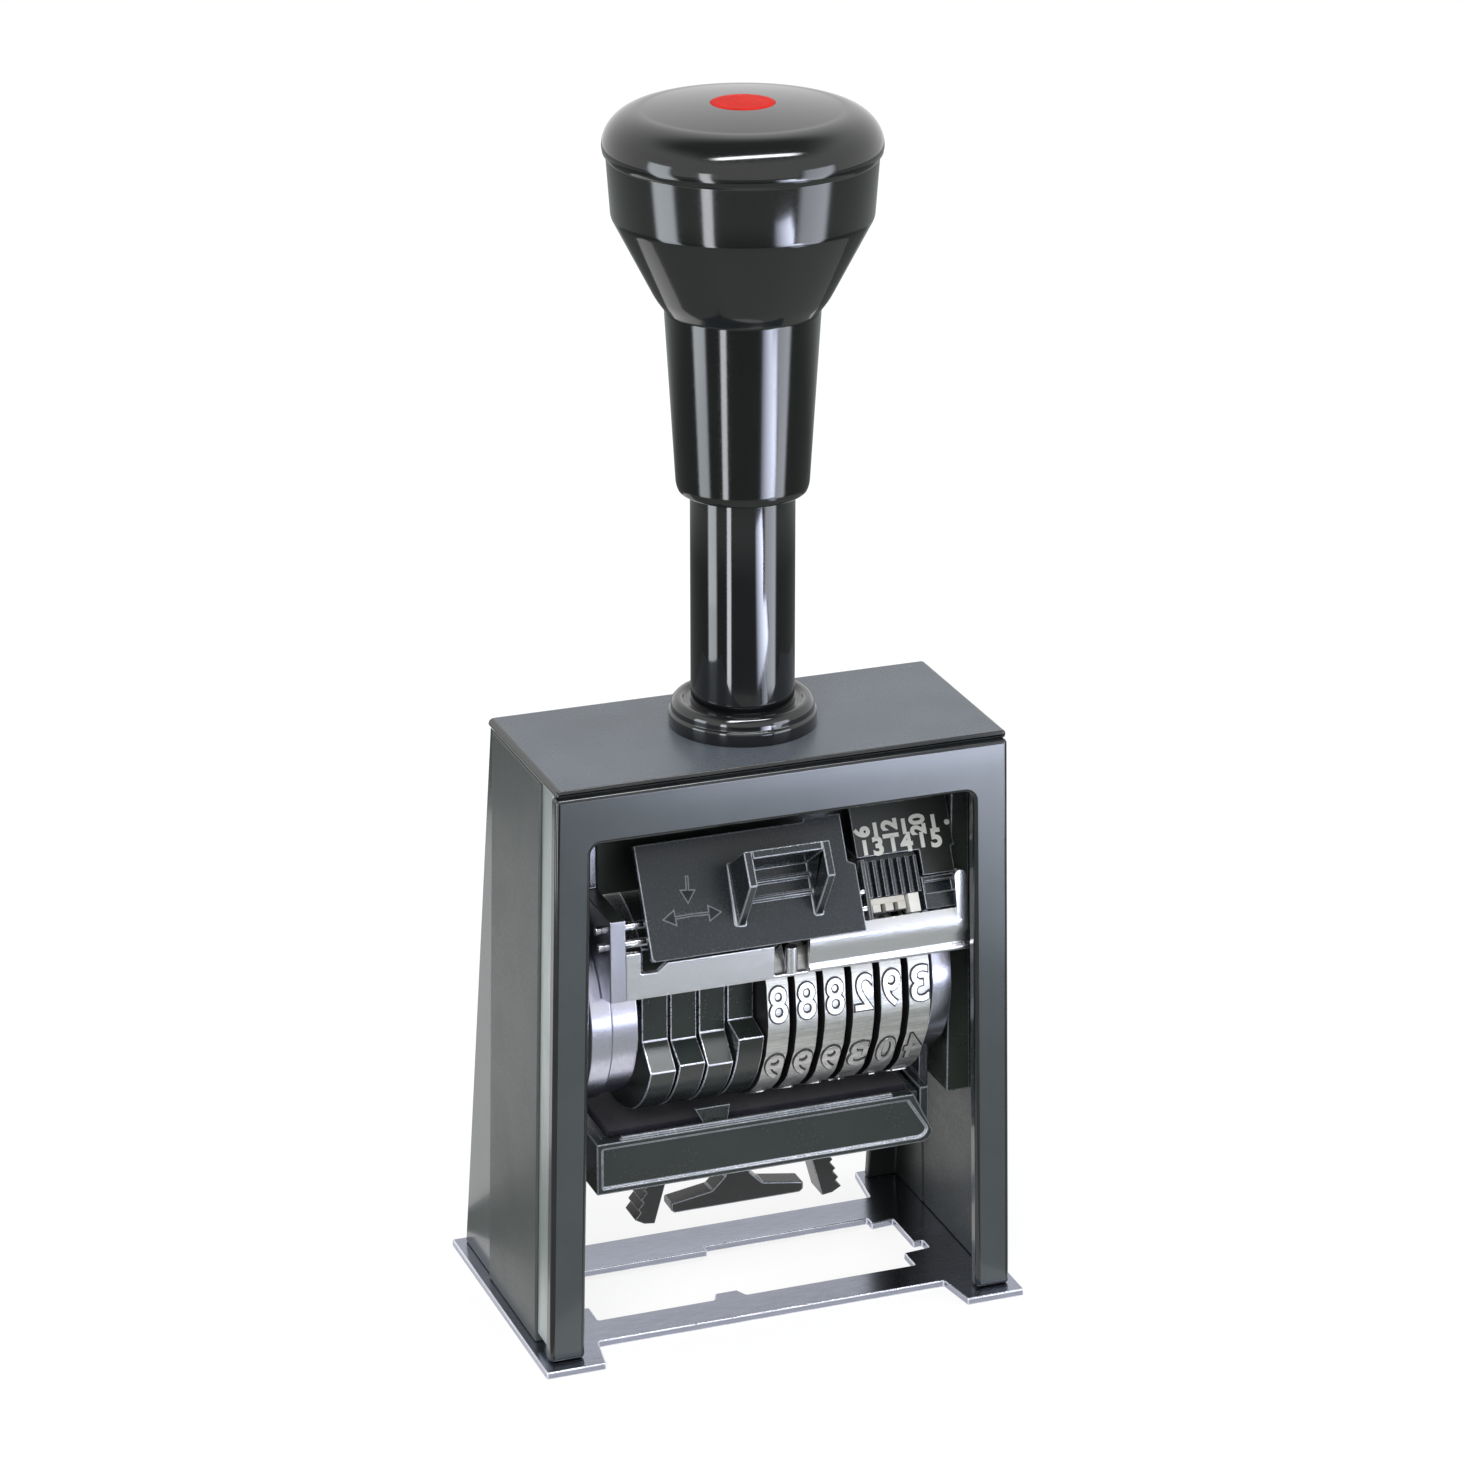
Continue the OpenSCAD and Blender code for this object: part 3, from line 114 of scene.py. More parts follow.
class NodeKit:
    """Adds and joins the nodes of one node tree."""

    def __init__(self, tree: bpy.types.NodeTree) -> None:
        """Keeps the tree that the nodes go into.

        Args:
            tree: A material's, world's or group's node tree.
        """
        self.tree = tree

    def add(self, kind: str, inputs: dict | None = None, **settings: object) -> bpy.types.Node:
        """Makes a node.

        Args:
            kind: The node's type name.
            inputs: Values for its sockets, by socket name or index.
            settings: Values for its own properties.

        Returns:
            The new node.
        """
        node = self.tree.nodes.new(kind)
        for name, value in settings.items():
            setattr(node, name, value)
        for key, value in (inputs or {}).items():
            node.inputs[key].default_value = value
        return node

    def join(self, source: bpy.types.NodeSocket, target: bpy.types.NodeSocket) -> None:
        """Links an output socket to an input socket."""
        self.tree.links.new(source, target)

    def noise(
        self, given: object, scale: str, detail: float, **inputs: float
    ) -> bpy.types.NodeSocket:
        """Makes a noise that is read at a group's own coordinates.

        Args:
            given: The sockets of the group's inputs.
            scale: Name of the input that sets the noise's scale.
            detail: The noise's detail.
            inputs: Values for its other sockets, by name in lower case.

        Returns:
            The noise's socket.
        """
        values = {name.capitalize(): value for name, value in inputs.items()}
        node = self.add("ShaderNodeTexNoise", {"Detail": detail, **values})
        self.join(given["Vector"], node.inputs["Vector"])
        self.join(given[scale], node.inputs["Scale"])
        return node.outputs["Fac"]

    def math(self, operation: str, a: object, b: object) -> bpy.types.NodeSocket:
        """Makes a Math node.

        Args:
            operation: The Math node's operation.
            a: A socket or a number.
            b: A socket or a number.

        Returns:
            The node's output socket.
        """
        node = self.add("ShaderNodeMath", operation=operation)
        for socket, value in zip(node.inputs, (a, b)):
            if isinstance(value, bpy.types.NodeSocket):
                self.join(value, socket)
            else:
                socket.default_value = value
        return node.outputs[0]

    def ramp(
        self, value: bpy.types.NodeSocket, low: float, high: float, out: tuple[float, float]
    ) -> bpy.types.NodeSocket:
        """Maps a range of a value smoothly onto another.

        Args:
            value: The socket to map.
            low: Where the ramp starts.
            high: Where the ramp ends.
            out: The results at low and at high.

        Returns:
            The mapped value's socket.
        """
        node = self.add(
            "ShaderNodeMapRange",
            {"From Min": low, "From Max": high, "To Min": out[0], "To Max": out[1]},
            interpolation_type="SMOOTHSTEP",
        )
        self.join(value, node.inputs["Value"])
        return node.outputs["Result"]

    def mix(
        self, factor: bpy.types.NodeSocket, first: object, second: Colour
    ) -> bpy.types.NodeSocket:
        """Mixes two colours by a mask.

        Args:
            factor: The mask's socket.
            first: The colour, or its socket, where the mask is 0.
            second: The colour where the mask is 1.

        Returns:
            The mixed colour's socket.
        """
        node = self.add("ShaderNodeMix", data_type="RGBA")
        self.join(factor, node.inputs["Factor"])
        if isinstance(first, bpy.types.NodeSocket):
            self.join(first, node.inputs[6])
        else:
            node.inputs[6].default_value = (*first, 1.0)
        node.inputs[7].default_value = (*second, 1.0)
        return node.outputs[2]


class SharedGroup:
    """A node group that is built once and placed in many materials."""

    title = "group"
    numbers: tuple[str, ...] = ()
    results: tuple[str, ...] = ()

    @classmethod
    def tree(cls) -> bpy.types.NodeTree:
        """Gives the group, and builds it the first time."""
        found = bpy.data.node_groups.get(cls.title)
        if found:
            return found
        made = bpy.data.node_groups.new(cls.title, "ShaderNodeTree")
        made.interface.new_socket(name="Vector", in_out="INPUT", socket_type="NodeSocketVector")
        for name in cls.numbers:
            made.interface.new_socket(name=name, in_out="INPUT", socket_type="NodeSocketFloat")
        for name in cls.results:
            made.interface.new_socket(name=name, in_out="OUTPUT", socket_type="NodeSocketFloat")
        kit = NodeKit(made)
        cls.build(kit, kit.add("NodeGroupInput").outputs, kit.add("NodeGroupOutput").inputs)
        return made

    @classmethod
    def build(cls, kit: NodeKit, given: object, wanted: object) -> None:
        """Fills the group.

        Args:
            kit: Adds nodes to the group's tree.
            given: The sockets of the group's inputs.
            wanted: The sockets of the group's outputs.
        """
        raise NotImplementedError

    @classmethod
    def place(cls, kit: NodeKit, vector: bpy.types.NodeSocket, **values: float) -> dict:
        """Places the group in a material.

        Args:
            kit: Adds nodes to the material's tree.
            vector: The coordinates the pattern is read at.
            values: The group's own numbers, by socket name in lower case.

        Returns:
            The group's output sockets by name.
        """
        node = kit.add("ShaderNodeGroup", node_tree=cls.tree())
        kit.join(vector, node.inputs["Vector"])
        for name, value in values.items():
            node.inputs[name.capitalize()].default_value = value
        return {socket.name: socket for socket in node.outputs}


class EdgeWear(SharedGroup):
    """Worn edges: where a rounded normal leaves the surface's own, broken up by noise."""

    title = "edge_wear"
    numbers = ("Radius", "Scale", "Amount")
    results = ("Edge",)
    bevel_samples = 8
    flat_dot, edge_dot = 0.99, 0.86
    broken_range = (0.32, 0.52)
    broken_least = 0.45

    @classmethod
    def build(cls, kit: NodeKit, given: object, wanted: object) -> None:
        """Edge = ramp(1 - rounded normal . normal) x ramp(noise) x amount."""
        bevel = kit.add("ShaderNodeBevel", samples=cls.bevel_samples)
        kit.join(given["Radius"], bevel.inputs["Radius"])
        surface = kit.add("ShaderNodeNewGeometry")
        dot = kit.add("ShaderNodeVectorMath", operation="DOT_PRODUCT")
        kit.join(bevel.outputs["Normal"], dot.inputs[0])
        kit.join(surface.outputs["Normal"], dot.inputs[1])
        edge = kit.ramp(dot.outputs["Value"], cls.flat_dot, cls.edge_dot, (0.0, 1.0))
        noise = kit.noise(given, "Scale", 5.0, roughness=0.6)
        broken = kit.ramp(noise, *cls.broken_range, (cls.broken_least, 1.0))
        share = kit.math("MULTIPLY", kit.math("MULTIPLY", edge, broken), given["Amount"])
        kit.join(share, wanted["Edge"])


class FineGrain(SharedGroup):
    """Grain of a coating or moulding: fine noise with a coarser cloud under it."""

    title = "fine_grain"
    numbers = ("Scale", "Cloud")
    results = ("Height", "Tone")

    @classmethod
    def build(cls, kit: NodeKit, given: object, wanted: object) -> None:
        """Height is noise at the grain's scale, tone is noise at the cloud's."""
        kit.join(kit.noise(given, "Scale", 2.0, roughness=0.55), wanted["Height"])
        kit.join(kit.noise(given, "Cloud", 6.0, roughness=0.55), wanted["Tone"])


class BrushStrokes(SharedGroup):
    """Brushed or rolled metal: noise that stretched coordinates draw out into strokes."""

    title = "brush_strokes"
    numbers = ("Scale", "Cloud")
    results = ("Height", "Tone")

    @classmethod
    def build(cls, kit: NodeKit, given: object, wanted: object) -> None:
        """Height is the strokes' noise, and tone is the mean of it and a cloud."""
        strokes = kit.noise(given, "Scale", 4.0, roughness=0.7)
        cloud = kit.noise(given, "Cloud", 3.0, roughness=0.5)
        kit.join(strokes, wanted["Height"])
        kit.join(kit.math("MULTIPLY", kit.math("ADD", strokes, cloud), 0.5), wanted["Tone"])


class Handling(SharedGroup):
    """Dust and finger marks: soft patches that dull a polished surface."""

    title = "handling_marks"
    numbers = ("Scale",)
    results = ("Patch",)
    patch_range = (0.42, 0.66)

    @classmethod
    def build(cls, kit: NodeKit, given: object, wanted: object) -> None:
        """Patch = ramp of a warped noise."""
        noise = kit.noise(given, "Scale", 3.0, distortion=1.2)
        kit.join(kit.ramp(noise, *cls.patch_range, (0.0, 1.0)), wanted["Patch"])


# ------------------------------------------------------------------ finishes


class Grain(Enum):
    """Ways a surface is textured, with the stretch of its pattern in X, Y and Z."""

    COATED = (1.0, 1.0, 1.0)
    BRUSHED_X = (0.04, 1.0, 1.0)
    BRUSHED_Z = (1.0, 1.0, 0.04)

    @property
    def group(self) -> type[SharedGroup]:
        """The node group that draws this grain."""
        return FineGrain if self is Grain.COATED else BrushStrokes


@dataclass(frozen=True)
class Finish:
    """A surface finish, from which one material is made."""

    name: str
    slot: str
    colour: Colour
    shade: Colour
    worn: Colour
    roughness: tuple[float, float]
    metallic: float = 0.0
    worn_metallic: float = 0.0
    wear: float = 0.6
    wear_radius: float = 0.25
    grain: Grain = Grain.COATED
    grain_size: float = 0.35
    grain_depth: float = 0.002
    cloud_size: float = 9.0
    coat: float = 0.0
    specular: float = 0.5
    sheen: float = 0.0

    def material(self) -> bpy.types.Material:
        """Gives this finish's material, and makes it the first time.

        Returns:
            A Principled material whose colour, roughness and bump vary over the surface.
        """
        found = bpy.data.materials.get(self.name)
        if found:
            return found
        made = bpy.data.materials.new(self.name)
        made.use_nodes = True
        made.diffuse_color = (*self.colour, 1.0)
        kit = NodeKit(made.node_tree)
        shader = made.node_tree.nodes["Principled BSDF"]
        place = kit.add("ShaderNodeTexCoord").outputs["Object"]
        stretch = kit.add("ShaderNodeMapping", {"Scale": self.grain.value})
        kit.join(place, stretch.inputs["Vector"])
        texture = self.grain.group.place(
            kit,
            stretch.outputs["Vector"],
            scale=1.0 / (self.grain_size * MM),
            cloud=1.0 / (self.cloud_size * MM),
        )
        edge = EdgeWear.place(
            kit, place, radius=self.wear_radius * MM, scale=EDGE_NOISE_SCALE, amount=self.wear
        )["Edge"]
        patch = Handling.place(kit, place, scale=1.0 / (self.cloud_size * MM))["Patch"]
        tone = kit.ramp(texture["Tone"], *TONE_RANGE, (0.0, 1.0))
        base = kit.mix(tone, self.colour, self.shade)
        kit.join(kit.mix(edge, base, self.worn), shader.inputs["Base Color"])
        smooth, dull = self.roughness
        rough = kit.math(
            "ADD",
            kit.ramp(texture["Height"], *HEIGHT_RANGE, (smooth, dull)),
            kit.math("MULTIPLY", patch, HANDLING_SHARE * (dull - smooth)),
        )
        kit.join(rough, shader.inputs["Roughness"])
        if self.worn_metallic != self.metallic:
            kit.join(
                kit.ramp(edge, 0.0, 1.0, (self.metallic, self.worn_metallic)),
                shader.inputs["Metallic"],
            )
        else:
            shader.inputs["Metallic"].default_value = self.metallic
        bump = kit.add(
            "ShaderNodeBump", {"Strength": 1.0, "Distance": self.grain_depth * MM}
        )
        kit.join(texture["Height"], bump.inputs["Height"])
        kit.join(bump.outputs["Normal"], shader.inputs["Normal"])
        shader.inputs["Specular IOR Level"].default_value = self.specular
        shader.inputs["Coat Weight"].default_value = self.coat
        shader.inputs["Coat Roughness"].default_value = COAT_ROUGHNESS
        shader.inputs["Sheen Weight"].default_value = self.sheen
        return made


METAL = dict(metallic=1.0, worn_metallic=1.0)
STEEL = dict(wear=0.35, **METAL)

FRAME_ENAMEL = Finish(
    "frame_enamel", "housing_paint", (0.068, 0.081, 0.087), (0.061, 0.073, 0.079),
    (0.30, 0.32, 0.34), (0.17, 0.22), worn_metallic=0.6, wear=0.5, coat=0.25, grain_depth=0.0012,
)
PANEL_ENAMEL = Finish(
    "panel_enamel", "panel_paint", (0.092, 0.104, 0.102), (0.080, 0.091, 0.090),
    (0.46, 0.48, 0.48), (0.34, 0.42), worn_metallic=0.6, wear=0.6, coat=0.05, specular=0.35,
)
TOP_ENAMEL = Finish(
    "top_enamel", "top_paint", (0.122, 0.140, 0.166), (0.108, 0.125, 0.148),
    (0.62, 0.65, 0.68), (0.26, 0.34), worn_metallic=0.6, wear=0.5, coat=0.05, specular=0.3,
)
# Painted shade: a near-black finish for faces that look into the machine, for the yoke and for the
# left cheek's upper faces, where little light reaches.
INNER_PAINTED_SHADE = Finish(
    "inner_painted_shade", "inner_frame", (0.022, 0.028, 0.024), (0.016, 0.021, 0.018),
    (0.20, 0.22, 0.22), (0.30, 0.42), worn_metallic=0.4, wear=0.8,
)
RAIL_ENAMEL = Finish(
    "rail_enamel", "inner_frame", (0.052, 0.064, 0.055), (0.040, 0.050, 0.043),
    (0.46, 0.50, 0.48), (0.26, 0.36), worn_metallic=0.6, wear=1.1,
)
TRIM_SATIN = Finish(
    "trim_satin", "trim", (0.52, 0.57, 0.56), (0.42, 0.47, 0.46),
    (0.80, 0.82, 0.82), (0.28, 0.40), metallic=0.7, worn_metallic=1.0, grain=Grain.BRUSHED_Z,
)
BASE_STEEL = Finish(
    "base_steel_plate", "base_steel", (0.37, 0.39, 0.47), (0.25, 0.265, 0.31),
    (0.92, 0.92, 0.95), (0.14, 0.26), grain=Grain.BRUSHED_X, grain_size=0.12, wear=1.2,
    wear_radius=0.3, cloud_size=14.0, **METAL,
)
BRIGHT_STEEL = Finish(
    "bright_steel_work", "bright_steel", (0.72, 0.72, 0.75), (0.66, 0.66, 0.69),
    (0.95, 0.95, 0.96), (0.18, 0.24), grain=Grain.BRUSHED_X, grain_size=0.15, wear=0.8,
    grain_depth=0.001, **METAL,
)
CHEEK_STEEL = Finish(
    "cheek_steel", "bright_steel", (0.60, 0.60, 0.70), (0.51, 0.51, 0.60),
    (0.95, 0.95, 0.97), (0.21, 0.26), grain=Grain.BRUSHED_Z, grain_size=0.3, wear=1.0,
    grain_depth=0.001, **METAL,
)
CLIP_BLACK = Finish(
    "clip_black", "dark_steel", (0.020, 0.024, 0.024), (0.015, 0.018, 0.018),
    (0.34, 0.36, 0.38), (0.24, 0.34), wear=1.1, wear_radius=0.2,
)
DARK_STEEL = Finish(
    "dark_steel_work", "dark_steel", (0.22, 0.23, 0.24), (0.16, 0.17, 0.18),
    (0.5, 0.5, 0.5), (0.30, 0.45), grain_size=0.2, **STEEL,
)
SPRING_STEEL = Finish(
    "spring_wire", "spring_steel", (0.48, 0.49, 0.51), (0.38, 0.39, 0.41),
    (0.8, 0.8, 0.8), (0.25, 0.40), grain_size=0.2, **STEEL,
)
TYPE_METAL = Finish(
    "type_metal", "wheel_metal", (0.70, 0.70, 0.68), (0.38, 0.38, 0.37),
    (0.86, 0.86, 0.84), (0.24, 0.42), grain=Grain.BRUSHED_X, grain_size=0.16,
    metallic=0.85, worn_metallic=1.0, wear=1.0, cloud_size=1.2, wear_radius=0.14,
)
TYPE_INK = Finish(
    "type_ink", "wheel_metal", (0.010, 0.010, 0.012), (0.022, 0.022, 0.024),
    (0.06, 0.06, 0.06), (0.30, 0.50), wear=0.2, grain_size=0.08,
)
BLACK_OXIDE = Finish(
    "black_oxide", "disc_black", (0.022, 0.029, 0.027), (0.018, 0.023, 0.022),
    (0.60, 0.60, 0.68), (0.22, 0.27), worn_metallic=1.0, wear=0.6, wear_radius=0.2,
    grain_depth=0.0005,
)
SELECTOR_SATIN = Finish(
    "selector_satin", "selector_black", (0.018, 0.023, 0.028), (0.015, 0.020, 0.024),
    (0.50, 0.52, 0.58), (0.24, 0.28), worn_metallic=0.9, wear=0.5, wear_radius=0.2,
    grain_depth=0.0005,
)
ARROW_RIM = Finish(
    "arrow_rim", "selector_black", (0.20, 0.22, 0.25), (0.15, 0.165, 0.19),
    (0.6, 0.6, 0.65), (0.25, 0.35), wear=0.3, grain_size=0.1,
)
ARROW_DARK = Finish(
    "arrow_dark", "selector_black", (0.004, 0.005, 0.006), (0.008, 0.009, 0.010),
    (0.03, 0.03, 0.03), (0.35, 0.5), wear=0.1, grain_size=0.1, specular=0.3,
)
SCALE_PAINT = Finish(
    "scale_paint", "inner_frame", (0.016, 0.019, 0.018), (0.012, 0.014, 0.013),
    (0.20, 0.21, 0.21), (0.34, 0.46), wear=0.6,
)
BRACKET_PAINT = Finish(
    "bracket_paint", "inner_frame", (0.060, 0.066, 0.068), (0.048, 0.053, 0.055),
    (0.46, 0.48, 0.50), (0.24, 0.34), worn_metallic=0.6, wear=1.2,
)
NUMERAL_PAINT = Finish(
    "numeral_paint", "ivory", (0.92, 0.92, 0.90), (0.84, 0.84, 0.82),
    (0.95, 0.95, 0.93), (0.40, 0.55), wear=0.2, grain_size=0.1,
)
IVORY = Finish(
    "ivory_moulding", "ivory", (0.74, 0.72, 0.68), (0.52, 0.51, 0.47),
    (0.88, 0.87, 0.83), (0.35, 0.5), wear=0.4, grain_size=0.12,
)
GLOSS_BLACK = Finish(
    "gloss_black_enamel", "black_metal", (0.0065, 0.0072, 0.0085), (0.005, 0.0056, 0.007),
    (0.05, 0.05, 0.055), (0.05, 0.08), wear=0.3, coat=0.5, grain_depth=0.0008, cloud_size=14.0,
)
KNOB_PLASTIC = Finish(
    "knob_plastic", "black_plastic", (0.0085, 0.0096, 0.0090), (0.007, 0.0080, 0.0075),
    (0.05, 0.05, 0.055), (0.09, 0.13), wear=0.25, coat=0.3, grain_depth=0.001, cloud_size=16.0,
)
RED_INLAY = Finish(
    "red_inlay", "red_plastic", (0.74, 0.014, 0.005), (0.64, 0.010, 0.004),
    (0.90, 0.20, 0.12), (0.45, 0.55), wear=0.3, grain_depth=0.001, cloud_size=4.0, specular=0.08,
)
RUBBER = Finish(
    "stop_rubber", "rubber_black", (0.018, 0.018, 0.018), (0.028, 0.028, 0.027),
    (0.06, 0.06, 0.06), (0.70, 0.9), wear=0.4, grain_depth=0.02,
)
TRAY_PLASTIC = Finish(
    "tray_plastic", "tray_black", (0.034, 0.041, 0.042), (0.030, 0.036, 0.037),
    (0.20, 0.22, 0.24), (0.24, 0.27), wear=0.5, wear_radius=0.2, grain_depth=0.0004,
)
LATCH_PLASTIC = Finish(
    "latch_plastic", "tray_grey", (0.013, 0.016, 0.016), (0.011, 0.013, 0.013),
    (0.20, 0.22, 0.24), (0.22, 0.26), wear=0.5, wear_radius=0.2, grain_depth=0.0004,
)
INKED_FELT = Finish(
    "inked_felt", "felt", (0.010, 0.009, 0.018), (0.022, 0.019, 0.034),
    (0.05, 0.04, 0.07), (0.80, 0.95), wear=0.3, grain_size=0.14, grain_depth=0.09,
    cloud_size=3.0, sheen=0.2,
)

# Rounded edges of the base plate and the repeat discs: bright worn metal that is also a painted
# highlight, standing in for the light these edges catch.
BRIGHT_EDGE_WEAR_AND_HIGHLIGHT = Finish(
    "worn_edge_bright_painted_highlight", "disc_black", (0.82, 0.82, 0.92), (0.60, 0.60, 0.68),
    (0.95, 0.95, 1.0), (0.24, 0.32), metallic=0.8, worn_metallic=1.0, wear=0.4, cloud_size=5.0,
    grain_depth=0.0005,
)
# Rounded edges of the rails, shoes, bracket, scale, comb, stop block, selector, slider, tray, clip,
# handle and latches: pale worn metal that is also a painted highlight.
PALE_EDGE_WEAR_AND_HIGHLIGHT = Finish(
    "worn_edge_pale_painted_highlight", "selector_black", (0.40, 0.42, 0.46), (0.26, 0.28, 0.31),
    (0.70, 0.72, 0.78), (0.20, 0.28), metallic=0.4, worn_metallic=0.9, wear=0.4, cloud_size=6.0,
    grain_depth=0.0005,
)
# Painted dark reflection: a near-black gloss on the rounded edges of the front frame and the top
# plate, standing in for the dark lines that these edges show.
EDGE_PAINTED_DARK_REFLECTION = Finish(
    "edge_painted_dark_reflection", "housing_paint", (0.006, 0.008, 0.009), (0.010, 0.012, 0.013),
    (0.10, 0.11, 0.12), (0.10, 0.15), wear=0.2, coat=0.4, cloud_size=6.0,
)


# ------------------------------------------------------------------ surfaces


def rounded(corners: Sequence[tuple[float, float, float]]) -> Points:
    """Rounds the corners of an open outline.

    Each corner with a radius becomes the quadratic curve that leaves its first side and
    joins its second at that distance, with the corner itself as the curve's handle.

    Args:
        corners: Points of the outline, each with the distance that its rounding takes up.

    Returns:
        The outline's points, two columns.
    """
    table = np.array(corners, float)
    middle = table[1:-1, :2]
    reach = table[1:-1, 2:3]
    before = table[:-2, :2] - middle
    after = table[2:, :2] - middle
    length_before = np.linalg.norm(before, axis=1, keepdims=True)
    length_after = np.linalg.norm(after, axis=1, keepdims=True)
    cut_before = np.minimum(reach, 0.48 * length_before) / length_before
    cut_after = np.minimum(reach, 0.48 * length_after) / length_after
    share = np.linspace(0.0, 1.0, CORNER_STEPS)[None, :, None]
    start = (middle + before * cut_before)[:, None, :]
    end = (middle + after * cut_after)[:, None, :]
    curve = (1 - share) ** 2 * start + 2 * share * (1 - share) * middle[:, None, :] + share**2 * end
    points = np.vstack([table[:1, :2], curve.reshape(-1, 2), table[-1:, :2]])
    apart = np.linalg.norm(np.diff(points, axis=0), axis=1) > TINY
    return points[np.concatenate([[True], apart])]


def grid_faces(rows: int, columns: int, wrap: bool) -> Points:
    """Corner numbers of the four-sided faces of a grid of points.

    Args:
        rows: Points along the first parameter.
        columns: Points along the second parameter.
        wrap: Whether the last column joins the first.

    Returns:
        One row of four point numbers for each face.
    """
    row = np.arange(rows - 1)[:, None]
    column = np.arange(columns if wrap else columns - 1)[None, :]
    following = (column + 1) % columns
    low = row * columns
    high = low + columns
    faces = np.stack([low + column, low + following, high + following, high + column], axis=-1)
    return faces.reshape(-1, 4)


def solid(name: str, points: Points, faces: Iterable) -> bpy.types.Object:
    """Makes a mesh piece from points in millimetres.

    Args:
        name: The piece's name.
        points: Three columns, in millimetres.
        faces: Point numbers of each face.

    Returns:
        The piece, with doubles merged and its faces pointing outwards.
    """
    mesh = bpy.data.meshes.new(name)
    mesh.from_pydata((np.asarray(points, float) * MM).tolist(), [], [list(f) for f in faces])
    tidy = bmesh.new()
    tidy.from_mesh(mesh)
    bmesh.ops.remove_doubles(tidy, verts=tidy.verts, dist=NEW_WELD)
    bmesh.ops.dissolve_degenerate(tidy, edges=tidy.edges, dist=NEW_SHORTEST)
    bmesh.ops.recalc_face_normals(tidy, faces=tidy.faces)
    tidy.to_mesh(mesh)
    tidy.free()
    return placed(name, mesh, SHARP_ANGLE)


def placed(name: str, mesh: bpy.types.Mesh, smooth_angle: float) -> bpy.types.Object:
    """Puts a mesh into the scene, smooth but for its sharp edges."""
    mesh.shade_smooth()
    mesh.set_sharp_from_angle(angle=math.radians(smooth_angle))
    piece = bpy.data.objects.new(name, mesh)
    bpy.context.scene.collection.objects.link(piece)
    return piece


def turned(name: str, profile: Points, centre: tuple[float, float]) -> bpy.types.Object:
    """Makes a turned piece by sweeping a profile round an upright line.

    A point is (x0 + r cos a, y0 + r sin a, z) for each profile point (r, z) and each
    angle a round the line, computed as one grid.

    Args:
        name: The piece's name.
        profile: Radius and height of each point, from end to end or closed on itself.
        centre: X and Y of the line.

    Returns:
        The turned piece.
    """
    angle = np.linspace(0.0, 2 * math.pi, TURN_STEPS, endpoint=False)
    radius, height = profile[:, :1], profile[:, 1:]
    x = centre[0] + radius * np.cos(angle)
    y = centre[1] + radius * np.sin(angle)
    z = height + np.zeros_like(x)
    points = np.stack([x, y, z], axis=-1).reshape(-1, 3)
    return solid(name, points, grid_faces(len(profile), TURN_STEPS, wrap=True))


def merged_copy(node: str, name: str) -> bpy.types.Object:
    """Copies a CAD node as a connected mesh with flat faces made whole.

    Args:
        node: The CAD node.
        name: The copy's name.

    Returns:
        The copy, ready to have its edges rounded.
    """
    mesh = frame["nodes"][node].data.copy()
    mesh.name = name
    mesh.materials.clear()
    tidy = bmesh.new()
    tidy.from_mesh(mesh)
    bmesh.ops.remove_doubles(tidy, verts=tidy.verts, dist=COPY_WELD)
    flat = math.radians(FLAT_ANGLE)
    bmesh.ops.dissolve_limit(tidy, angle_limit=flat, verts=tidy.verts, edges=tidy.edges)
    bmesh.ops.recalc_face_normals(tidy, faces=tidy.faces)
    tidy.to_mesh(mesh)
    tidy.free()
    for layer in list(mesh.attributes):
        if layer.name == "custom_normal":
            mesh.attributes.remove(layer)
    return placed(name, mesh, COPY_SHARP_ANGLE)


def with_bevel(piece: bpy.types.Object, width: float, segments: int = 3) -> bpy.types.Object:
    """Rounds a piece's sharp edges.

    Args:
        piece: The piece.
        width: Width of the rounding in millimetres.
        segments: Faces across the rounding.

    Returns:
        The same piece with a live Bevel modifier.
    """
    edge = piece.modifiers.new("rounded_edges", "BEVEL")
    edge.width = width * MM
    edge.segments = segments
    edge.limit_method = "ANGLE"
    edge.angle_limit = math.radians(SHARP_ANGLE)
    edge.use_clamp_overlap = False
    edge.harden_normals = True
    edge.miter_outer = "MITER_ARC"
    return piece


